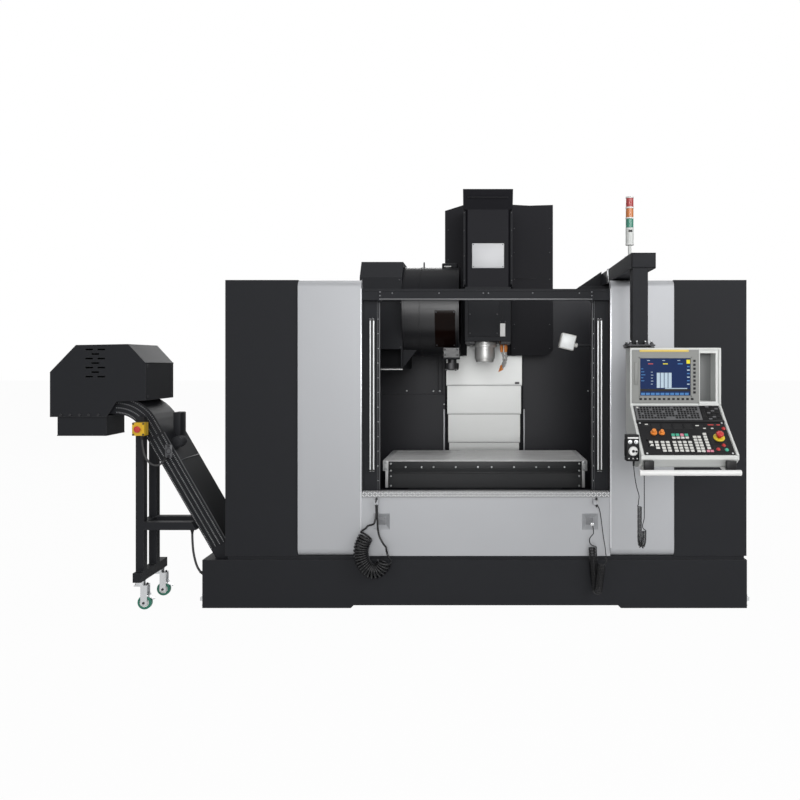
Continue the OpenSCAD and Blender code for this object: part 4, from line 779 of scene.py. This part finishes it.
# Screen: a grey bezel with a yellow strip over it, two rows of soft keys, and a lit blue picture with
# plain bars and blocks and no writing.
bezel_grey = finish_of("bezel_grey", (0.225, 0.23, 0.22), 0.5, grain=380, bump=0.12, edge=0.003)
dress(bezel_grey, "screen")


def lit_face(name, colour, level):
    """A backlit patch: its own light, faintly uneven, under a smooth cover."""
    made = finish_of(name, [c * 0.4 for c in colour], 0.2, gloss=0.1, grain=900, bump=0.0, mottle=0.15)
    shine = made.node_tree.nodes["Principled BSDF"].inputs
    shine["Emission Color"].default_value = (*colour, 1)
    shine["Emission Strength"].default_value = level
    return made


key_black = finish_of("key_black", (0.01, 0.01, 0.011), 0.35, gloss=0.2, bump=0.06)
strip_yellow = finish_of("strip_yellow", (0.68, 0.50, 0.11), 0.4)
screen_blue = lit_face("screen_blue", (0.010, 0.024, 0.085), 0.75)
screen_pale = lit_face("screen_pale", (0.42, 0.52, 0.6), 0.8)
screen_yellow = lit_face("screen_yellow", (0.72, 0.62, 0.04), 0.8)
screen_sky = lit_face("screen_sky", (0.07, 0.19, 0.42), 0.8)
screen_red = lit_face("screen_red", (0.5, 0.1, 0.09), 0.7)
screen = bmesh.new()
SKIN = {"bezel": 0, "key": 1, "strip": 2, "blue": 3, "pale": 4, "yellow": 5, "sky": 6, "red": 7}


def patch(x0, x1, z0, z1, skin, depth=0.6):
    slab(screen, (x0, x1), (-546 - depth, -544), (z0, z1), edge=0.2, segments=1, skin=SKIN[skin])


patch(870, 1160, 1394, 1610, "blue", 0)
for k in range(4):
    patch(967 + 22 * k, 985 + 22 * k, 1440, 1526, "pale")
patch(1136, 1156, 1578, 1600, "yellow")
for k in range(6):
    patch(1139, 1154, 1558 - 20 * k, 1564 - 20 * k, "pale" if k % 2 else "sky")
patch(872, 1158, 1420, 1434, "key", 0.4)
patch(1014, 1140, 1434, 1439, "pale")
for k in range(10):
    patch(878 + 27.6 * k, 900 + 27.6 * k, 1399, 1412, "sky")
for k in range(3):
    patch(912 + 86 * k, 928 + 86 * k, 1594, 1597, "pale")
    patch(918 + 84 * k, 946 + 84 * k, 1574, 1579, ("red", "yellow", "sky")[k])
for k in range(5):
    patch(878, 890 + 6 * (k % 3), 1546 - 17 * k, 1550 - 17 * k, "sky")
    patch(934, 944 + 3 * (k % 2), 1528 - 17 * k, 1531 - 17 * k, "pale")
for k in range(9):
    slab(screen, (1173, 1187), (-553.5, -549), (1408 + 22.4 * k, 1421 + 22.4 * k), edge=1.6, skin=1)
for k in range(12):
    slab(screen, (867 + 26.6 * k, 882 + 26.6 * k), (-553.5, -549), (1371, 1383), edge=1.6, skin=1)
slab(screen, (868, 1148), (-553, -541), (1644, 1657), edge=3, skin=2)
slab(screen, (836, 860), (-551.6, -549), (1456, 1588), edge=2)
slab(screen, (839, 857), (-552.4, -550), (1462, 1582), edge=1.5)
for z0, z1, x0, x1 in ((1608, 1616, 864, 1166), (1388, 1396, 864, 1166), (1388, 1616, 864, 872),
                       (1388, 1616, 1158, 1166)):
    slab(screen, (x0, x1), (-551, -544), (z0, z1), edge=1.5)
piece(screen, "screen_face", (bezel_grey, key_black, strip_yellow, screen_blue, screen_pale, screen_yellow,
                              screen_sky, screen_red), "pendant")

# Operator panels: moulded plates on the case's two slopes, a grey keyboard above and a black panel of
# white, green and pink keys below, with rotary switches, lamps and the stop button's yellow ring.
panel_black = finish_of("panel_black", (0.011, 0.011, 0.012), 0.42, gloss=0.14, grain=420, bump=0.1, edge=0.002)
dress(panel_black, "control_panel")
key_grey = finish_of("key_grey", (0.13, 0.131, 0.136), 0.45, gloss=0.25, bump=0.08)
key_white = finish_of("key_white", (0.68, 0.68, 0.65), 0.4)
key_green = finish_of("key_green", (0.06, 0.42, 0.28), 0.4)
key_pink = finish_of("key_pink", (0.65, 0.22, 0.30), 0.4)
key_red = finish_of("key_red", (0.5, 0.02, 0.02), 0.3)
ring_yellow = finish_of("ring_yellow", (0.72, 0.55, 0.03), 0.4)
KEYBOARD = (-540, 1340, math.atan2(87, 100))
PANEL = (-640, 1253, math.atan2(163, 210))
PANEL_LEAN = Matrix.Rotation(PANEL[2], 4, "X")
keys = bmesh.new()


def cap(slope, x, down, width, length, height, skin, edge=1.2):
    """A key cap on a sloping plate, a distance down from the slope's upper edge."""
    y0, z0, tilt = slope
    rise = 5 + height / 2 - 0.4
    y = y0 - down * math.cos(tilt) - rise * math.sin(tilt)
    z = z0 - down * math.sin(tilt) + rise * math.cos(tilt)
    slab(keys, (x - width / 2, x + width / 2), (y - length / 2, y + length / 2), (z - height / 2, z + height / 2),
         edge=edge, segments=1, turn=Matrix.Rotation(tilt, 4, "X"), skin=skin)


def round_on(slope, x, down, outline, skin, steps=20, bm=None):
    """A turned button or knob standing on a sloping plate."""
    y0, z0, tilt = slope
    spot = (x, y0 - down * math.cos(tilt) - 5 * math.sin(tilt), z0 - down * math.sin(tilt) + 5 * math.cos(tilt))
    turned(keys if bm is None else bm, spot, (0, -math.sin(tilt), math.cos(tilt)), outline, steps, skin)


GREY, WHITE, GREEN, PINK, BLACK, BOLT, RED, ORANGE, YELLOW = range(9)
cap(KEYBOARD, 1020, 66, 366, 112, 2.5, GREY)
GAPS = ((0, 0), (5, 10), (5, 11), (2, 12), (3, 12))
for row in range(6):
    for col in range(20):
        if (row, col) not in GAPS:
            skin = BLACK if (row * 7 + col) % 11 else GREY
            cap(KEYBOARD, 856 + 17.2 * col, 26 + 16 * row, 13, 12, 5.4, skin, 1.4)
round_on(KEYBOARD, 852, 24, ((0, 5), (4, 5), (6, 3), (6, 0), (0, 0)), WHITE, 12)
cap(KEYBOARD, 1218, 70, 22, 66, 3, BLACK)
for row in range(7):
    for col in range(2 + row % 2):
        cap(KEYBOARD, 1248 + 24 * col, 18 + 16 * row, 19, 10, 4, BLACK if (row + col) % 3 else GREY)
for x in (848, 1302):
    for down in (14, 252):
        round_on(PANEL, x, down, ((0, 1.5), (2, 1.5), (3, 2.4), (5, 2), (6, 0)), BOLT, 10)
for x, down, width, length in ((880, 30, 40, 26), (930, 42, 44, 40), (990, 42, 50, 40), (1052, 42, 50, 40),
                               (1110, 42, 44, 40), (1168, 46, 46, 36), (1252, 30, 92, 22), (1250, 132, 84, 96),
                               (1250, 212, 84, 50)):
    cap(PANEL, x, down, width, length, 1.6, BLACK)
for x, down, width, skin in ((1236, 30, 34, RED), (1278, 30, 20, RED), (882, 26, 18, WHITE), (1160, 36, 20, WHITE),
                             (1196, 58, 16, WHITE), (1238, 58, 14, WHITE)):
    cap(PANEL, x, down, width, 8, 3, skin)
for k, skin in enumerate((GREEN, GREEN, PINK, GREEN)):
    cap(PANEL, 1012 + 24 * k, 112, 19, 17, 6, skin)
    cap(PANEL, 1012 + 24 * k, 134, 19, 14, 6, WHITE)
ROWS = (168, 190, 212, 233)
TALL_ROWS = (128, 150, 172, 194, 216, 236)
for x, downs in ((882, ROWS[:2]), (912, ROWS[:3]), *((x, ROWS) for x in (944, 972, 1008, 1036, 1064, 1092)),
                 (1126, TALL_ROWS), (1150, TALL_ROWS), (1184, range(104, 215, 22))):
    for down in downs:
        cap(PANEL, x, down, 20, 15, 5, WHITE)
for x in (1176, 1196):
    cap(PANEL, x, 236, 17, 15, 5, PINK)
KNOB = ((0, 22), (8, 22), (10, 20), (11, 8), (16, 6), (17, 0), (0, 0))
round_on(PANEL, 954, 95, KNOB, ORANGE)
for x, down in ((866, 150), (872, 190)):
    round_on(PANEL, x, down, ((0, 9), (5, 9), (6, 7), (7, 0), (0, 0)), BLACK)
BUTTON_LAMP = ((0, 8), (6, 8), (8, 6.5), (9, 3), (11, 2), (11, 0), (0, 0))
for x, down, skin in ((1232, 222, RED), (1268, 192, RED), (1276, 226, GREEN), (1300, 60, RED)):
    round_on(PANEL, x, down, BUTTON_LAMP, skin, 16)
STOP_X, STOP_DOWN = 1257, 132.9
RING = ((30.6, 0), (31, 1), (31, 5.6), (29, 6.8), (12, 6.8), (11, 6.2), (11, 1), (30.6, 0))
round_on(PANEL, STOP_X, STOP_DOWN, RING, YELLOW, 36)
piece(keys, "panel_keys", (key_grey, key_white, key_green, key_pink, key_black, zinc, key_red, nozzle_orange,
                           ring_yellow), "pendant")
stop_red = finish_of("stop_red", (0.55, 0.025, 0.018), 0.26, gloss=0.6, grain=260, bump=0.03)
mushroom = bmesh.new()
MUSHROOM = ((0, 7), (9.6, 7), (9.6, 18), (13, 20), (20, 24), (21, 27), (21, 31), (18.5, 36), (12, 39.2), (0, 40))
round_on(PANEL, STOP_X, STOP_DOWN, MUSHROOM, 0, 36, mushroom)
stop_cap = piece(mushroom, "stop_mushroom", stop_red, "emergency_stop")
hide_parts("emergency_stop")
knob = bmesh.new()
OVERRIDE = ((0, 0.6), (18.6, 0.6), (19, 2), (18, 8), (12.5, 9), (12, 22), (10, 25), (0, 26))
round_on(PANEL, 910, 94.94, OVERRIDE, 0, 28, knob)
slab(knob, (907.5, 912.5), (-741.5, -716.5), (1213, 1219), edge=1.5, turn=PANEL_LEAN)
knob_piece = piece(knob, "override_knob", nozzle_orange, "override_dial")
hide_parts("override_dial")

# Pendant case trim: raised side rails with folded corners along the case's profile, a rear cover with
# cooling slots, and the bar that the operator steers it by, on two dark brackets.
bar_white = finish_of("bar_white", (0.8, 0.8, 0.79), 0.36, bump=0.04, mottle=0.03)
dress(bar_white, "pendant_handle")
trim = bmesh.new()
PROFILE = ((-540, 1660), (-540, 1340), (-640, 1253), (-848, 1091))
for x in ((815, 829), (1319, 1333)):
    for (y0, z0), (y1, z1) in zip(PROFILE, PROFILE[1:]):
        tilt = math.atan2(z0 - z1, y0 - y1)
        reach = math.hypot(y0 - y1, z0 - z1)
        mid_y, mid_z = (y0 + y1) / 2, (z0 + z1) / 2
        slab(trim, x, (mid_y - reach / 2 - 3, mid_y + reach / 2 + 3), (mid_z - 7, mid_z + 7), edge=3, segments=3,
             turn=Matrix.Rotation(tilt, 4, "X"))
slab(trim, (1205, 1211), (-552, -539), (1346, 1660), edge=2.5)
slab(trim, (815, 1333), (-546, -538), (1655, 1668), edge=3)
slab(trim, (815, 1333), (-547, -538), (1336, 1352), edge=3)
slab(trim, (802, 956), (-542, -418), (1666, 1675.5), edge=2, skin=2)
slab(trim, (1212, 1301), (-455.5, -452), (1363, 1636), edge=1, skin=3)
slab(trim, (860, 1300), (-421, -414), (1230, 1640), edge=3)
screw_grid(trim, (880, 1280), -414, (1250, 1435, 1620), 1.1, axis=BACK)
for row in range(8):
    slab(trim, (960, 1200), (-416, -411), (1480 + 16 * row, 1487 + 16 * row), edge=1.5, skin=2)
for x, way in ((797, 1), (1327, -1)):
    turned(trim, (x, -895, 1007), (way, 0, 0), ((0, -1.5), (13, -1.5), (15.6, 0.5), (15.6, 9), (15, 10)), 28, 4)
for x in (827, 1261):
    slab(trim, (x - 1, x + 51), (-874, -846), (1000, 1066), edge=3, skin=2)
slab(trim, (829, 1319), (-652, -634), (1250, 1261), edge=2, skin=2, turn=PANEL_LEAN)
pocket_grey = finish_of("pocket_grey", (0.16, 0.165, 0.165), 0.5, grain=320, bump=0.08, mottle=0.04)
piece(trim, "case_trim", (pale_coat, zinc, key_black, pocket_grey, bar_white), "pendant")

# Hand wheel: a black hand-held box in a holder on the case's side, with a pale strip, two axis
# switches and a click dial with a crank knob. Its cord leaves through a tapered relief.
dress(panel_black, "hand_wheel")
wheel_box = bmesh.new()
slab(wheel_box, (747, 815), (-795, -787), (1054, 1196), edge=3, segments=3)
slab(wheel_box, (753, 811), (-798, -794), (1176, 1184), edge=1.5, skin=1)
for x in (766, 798):
    turned(wheel_box, (x, -795, 1158), FRONT, ((0, 14), (5, 14), (6, 12), (7, 5), (11, 4), (11, 0), (0, 0)), 18, 2)
for x in (760, 782, 804):
    slab(wheel_box, (x - 3, x + 3), (-797, -794), (1066, 1072), edge=1, skin=1)
slab(wheel_box, (743, 750), (-770, -750), (1080, 1170), edge=2.5)
turned(wheel_box, (798, -730, 1056), DOWN, ((0, -3), (9, -3), (9, 4), (6, 10), (5, 34), (3.4, 36), (0, 36)), 14)
turned(wheel_box, (857, -726, 1018), DOWN, ((0, -8), (8, -8), (8, 4), (5.5, 9), (4.5, 30), (3.2, 32), (0, 32)), 14)
piece(wheel_box, "hand_wheel_face", (panel_black, plate_white, zinc), "pendant")
DIAL_X, DIAL_Z = 783, 1109
dial = bmesh.new()
turned(dial, (DIAL_X, -790.4, DIAL_Z), FRONT,
       ((0, 0), (23, 0), (25, 1.5), (25, 9), (22, 11), (21, 13), (14, 12), (0, 12)), 36)
for k in range(20):
    a = 2 * math.pi * k / 20
    x, z = DIAL_X + 22.5 * math.cos(a), DIAL_Z + 22.5 * math.sin(a)
    slab(dial, (x - 0.6, x + 0.6), (-802.5, -800), (z - 1.6, z + 1.6), skin=1)
turned(dial, (DIAL_X + 14, -802, DIAL_Z), FRONT, ((0, 18), (4, 18), (5, 16), (4, 6), (5, 0), (0, 0)), 16, 1)
turned(dial, (DIAL_X, -802, DIAL_Z), FRONT, ((0, 3), (7, 3), (8, 1), (8, 0), (0, 0)), 20, 1)
dial_piece = piece(dial, "pulse_dial", (plate_white, key_black), "hand_wheel_dial")
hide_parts("hand_wheel_dial")

# Chip conveyor: a folded channel that climbs out of the base, with studded seams along its ribs, a
# chain tensioner on its side, a hooded discharge end and a geared motor on its slope.
dress(charcoal, "conveyor", "conveyor_hood", "conveyor_stand")
CLIMB = math.radians(60)


def on_belt(along, up):
    """Where the conveyor's slope is, along it from the lower bend and up from the belt's middle."""
    return (-1633.66 - along * math.cos(CLIMB) + up * math.sin(CLIMB),
            238 + along * math.sin(CLIMB) + up * math.cos(CLIMB))


seams = bmesh.new()
STUD = ((0, 1.6), (1.4, 1.6), (2, 0.4), (2, 0))
for up in (-49, -45, -19, -15, 11, 15, 41, 45):
    for k in range(67):
        x, z = on_belt(196 + 12 * k, up)
        turned(seams, (x, 46, z), FRONT, STUD, 6, 2)
        turned(seams, (x, 406, z), BACK, STUD, 6, 2)
    for k in range(7):
        x, z = on_belt(1016 + 12 * k, up)
        turned(seams, (x, 56, z), FRONT, STUD, 6, 2)
    for k in range(22):
        a = math.radians(30 + 60 * k / 21)
        turned(seams, (-2390 + (240 + up) * math.cos(a), 56, 1068 + (240 + up) * math.sin(a)), FRONT, STUD, 6, 2)
incline = Matrix.Rotation(CLIMB, 4, "Y")
x, z = on_belt(600, 59)
slab(seams, (x - 400, x + 400), (54, 62), (z - 2, z + 2), edge=1, skin=3, turn=incline)
x, z = on_belt(790, 58.5)
slab(seams, (x - 3, x + 3), (60, 392), (z - 2, z + 2), edge=1, skin=3, turn=incline)
x, z = on_belt(877, 29)
slab(seams, (x - 24, x + 24), (38, 47), (z - 42, z + 42), edge=4, skin=3)
turned(seams, (x, 38.5, z), FRONT, ((0, 0), (13, 0), (15, 2), (18, 2), (19, 0)), 24, 1)
screws(seams, [(x, 38, z + dz) for dz in (-32, 32)], FRONT, 1.2, 1)
slab(seams, (-2082, -2032), (200, 300), (1040, 1252), edge=6)
x, z = on_belt(907, 82)
for k in range(6):
    turned(seams, (x, 98 + 14 * k, z), BACK, ((33, 0), (37, 1), (37, 5), (33, 6)), 28)
turned(seams, (x, 92, z), BACK, ((0, 0), (24, 0), (30, 3), (34, 5)), 28)
screws(seams, [(-2780 + 60 * k, 0, 1248) for k in range(6)], FRONT, 1.2, 1)
screws(seams, [(-2182, y, z) for y in (30, 415) for z in (1365, 1560)], RIGHT, 1.2, 1)
slab(seams, (-2790, -2430), (-2, 3), (1235, 1240), edge=1)
slab(seams, (-2184, -2176), (-2, 447), (1576, 1584), edge=1.5)
slab(seams, (-2749, -2431), (8, 262), (1113, 1119), edge=1.5)
piece(seams, "conveyor_seams", (charcoal, black_zinc, zinc, stile_edge), "machine")

# Casters: zinc forks under the stand's foot with clamp bolts at both ends of their top plates, a brake
# lever over each wheel, and green cast tyres on pale hubs.
dress(zinc, "front_caster", "rear_caster")
tyre_green = finish_of("tyre_green", (0.018, 0.17, 0.11), 0.45, grain=160, bump=0.1)
AXLE_X, AXLE_Z = -2189, 45
TREAD = ((30, -15), (40, -15.6), (44, -13), (45, -9), (45, 9), (44, 13), (40, 15.6), (30, 15), (30, -15))
HUB = ((6.1, -19.6), (13, -19.6), (14, -18), (14, -12), (30.5, -12), (30.5, 12), (14, 12), (14, 18), (13, 19.6),
       (6.1, 19.6), (6.1, -19.6))
for y, fork, wheel in ((20, "front_caster", "front_wheel"), (315, "rear_caster", "rear_wheel")):
    brake = bmesh.new()
    for x in (-2246, -2174):
        turned(brake, (x, y, 148), UP, ((0, 0), (8, 0), (9, 2), (9, 12), (6, 14), (6, 22), (0, 23)), 6, 1)
    turned(brake, (-2217, y, 158), UP, ((0, 0), (16, 0), (18, 3), (18, 14), (14, 18), (14, 26), (0, 26)), 20)
    slab(brake, (-2170, -2124), (y - 16, y + 16), (74, 80), edge=2, turn=Matrix.Rotation(0.45, 4, "Y"))
    slab(brake, (-2180, -2160), (y - 27, y + 27), (84, 98), edge=3)
    for way in (-1, 1):
        turned(brake, (AXLE_X, y + way * 26, AXLE_Z), (0, way, 0), ((0, 8), (6, 8), (8, 6), (9, 0), (0, 0)), 6, 1)
    piece(brake, fork + "_brake", (zinc, black_zinc), fork)
    tyre = bmesh.new()
    turned(tyre, (AXLE_X, y, AXLE_Z), BACK, TREAD, 40)
    turned(tyre, (AXLE_X, y, AXLE_Z), BACK, HUB, 32, 1)
    tyre_piece = piece(tyre, wheel + "_tyre", (tyre_green, plate_white), wheel)
    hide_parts(wheel)

# Stop box: a yellow moulded box on the conveyor's post with a red mushroom button, and its cable that
# loops back to the channel; a conduit runs from the stand down into the base.
box_yellow = finish_of("box_yellow", (0.74, 0.46, 0.02), 0.42, bump=0.08, edge=0.004)
dress(box_yellow, "stop_box")
BOX_X, BOX_Z = -2201, 1161
stop = bmesh.new()
screws(stop, [(BOX_X + dx, -56, BOX_Z + dz) for dx in (-31, 32) for dz in (-34, 35)], FRONT, 0.8, 1)
slab(stop, (-2240, -2161), (-20, -16), (1119, 1204), edge=1, skin=1)
turned(stop, (BOX_X, -56, BOX_Z), FRONT, ((15, 0), (24, 0), (24, 2), (22, 3), (15, 3), (15, 0)), 28)
piece(stop, "stop_box_trim", (box_yellow, black_zinc), "machine")
press = bmesh.new()
turned(press, (BOX_X, -50, BOX_Z), FRONT,
       ((0, 0), (13.6, 0), (13.6, 16), (17, 17), (20.6, 20), (21, 22.5), (18, 26.5), (10, 28), (0, 28)), 32)
press_piece = piece(press, "stop_box_mushroom", stop_red, "stop_button")
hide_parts("stop_button")
cable_black = finish_of("cable_black", (0.014, 0.014, 0.015), 0.45, grain=400, bump=0.1)
STOP_CABLE = route_of((-2187, -26, 1120), (-2185, -26, 1065), (-2173, -24, 995), (-2147, -16, 945),
                      (-2113, 2, 925), (-2087, 24, 935), (-2067, 46, 965))
CONDUIT = route_of((-1890, 30, 510), (-1889, 30, 440), (-1882, 30, 360), (-1864, 30, 285), (-1840, 30, 240),
                   (-1815, 30, 226))
for name, route in (("stop_cable_run", STOP_CABLE), ("conduit_run", CONDUIT)):
    line = smooth_route(route, 0.012)
    run = hose(name, line, 0.014, "machine", cable_black)
    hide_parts("conveyor_cables")
glands = bmesh.new()
GLAND = ((0, -2), (12, -2), (12, 8), (10, 10), (10, 16), (8, 20), (7.4, 28), (0, 28))
turned(glands, (-2187, -26, 1120), DOWN, GLAND, 12)
turned(glands, (-2067, 46, 965), (-0.5, -0.5, -0.7), GLAND, 12)
turned(glands, (-1890, 30, 510), DOWN, GLAND, 12)
turned(glands, (-1815, 30, 226), (-0.93, 0, 0.37), GLAND, 12)
piece(glands, "cable_glands", key_black, "machine")

# Electrical cabinet: a folded box on the machine's back with a hinged, sealed door, a swing handle,
# a filter fan, a rotary main switch on a plain yellow plate, and cable entries below.
dress(charcoal, "electrical_cabinet", "electrical_door")
fittings = bmesh.new()
slab(fittings, (748, 767), (2609, 2640), (1210, 1310), edge=5, segments=3)
slab(fittings, (700, 1660), (2598.6, 2600.2), (420, 440), edge=0.5, skin=1)
slab(fittings, (1030, 1330), (2622, 2632), (1560, 1860), edge=5)
for k in range(9):
    slab(fittings, (1050, 1310), (2629, 2636), (1584 + 29 * k, 1598 + 29 * k), edge=2.5)
slab(fittings, (740, 840), (2622, 2628), (1480, 1580), edge=3, skin=2)
turned(fittings, (790, 2628, 1530), BACK, ((0, 8), (28, 8), (32, 5), (32, 0), (0, 0)), 32)
slab(fittings, (783, 797), (2634, 2650), (1502, 1558), edge=4, skin=3)
screw_grid(fittings, (715, 1645), 2624, (450, 850, 1650, 2050), 1.3, 4, axis=BACK)
for z in (560, 1200, 1880):
    turned(fittings, (1660, 2600.4, z), UP, ((0, 0), (8, 0), (9, 2), (9, 78), (8, 80), (0, 80)), 16)
piece(fittings, "electrical_fittings", (key_black, seal_rubber, ring_yellow, stop_red, zinc), "electrical_door")
back = bmesh.new()
for k in range(6):
    turned(back, (860 + 120 * k, 2420, 422), DOWN,
           ((0, 0), (24, 0), (24, 10), (20, 14), (20, 26), (13, 32), (0, 32)), 12)
slab(back, (694, 1666), (2250, 2604), (2078, 2086), edge=3, skin=1)
for k in range(7):
    turned(back, (0, 1890, 2626 + 22 * k), UP, ((79, 0), (86, 2), (86, 10), (79, 12)), 36, 1)
screws(back, [(x, y, 2620) for x in (-78, 78) for y in (1812, 1968)], UP, 2.0, 2)
piece(back, "rear_fittings", (key_black, charcoal, zinc), "machine")
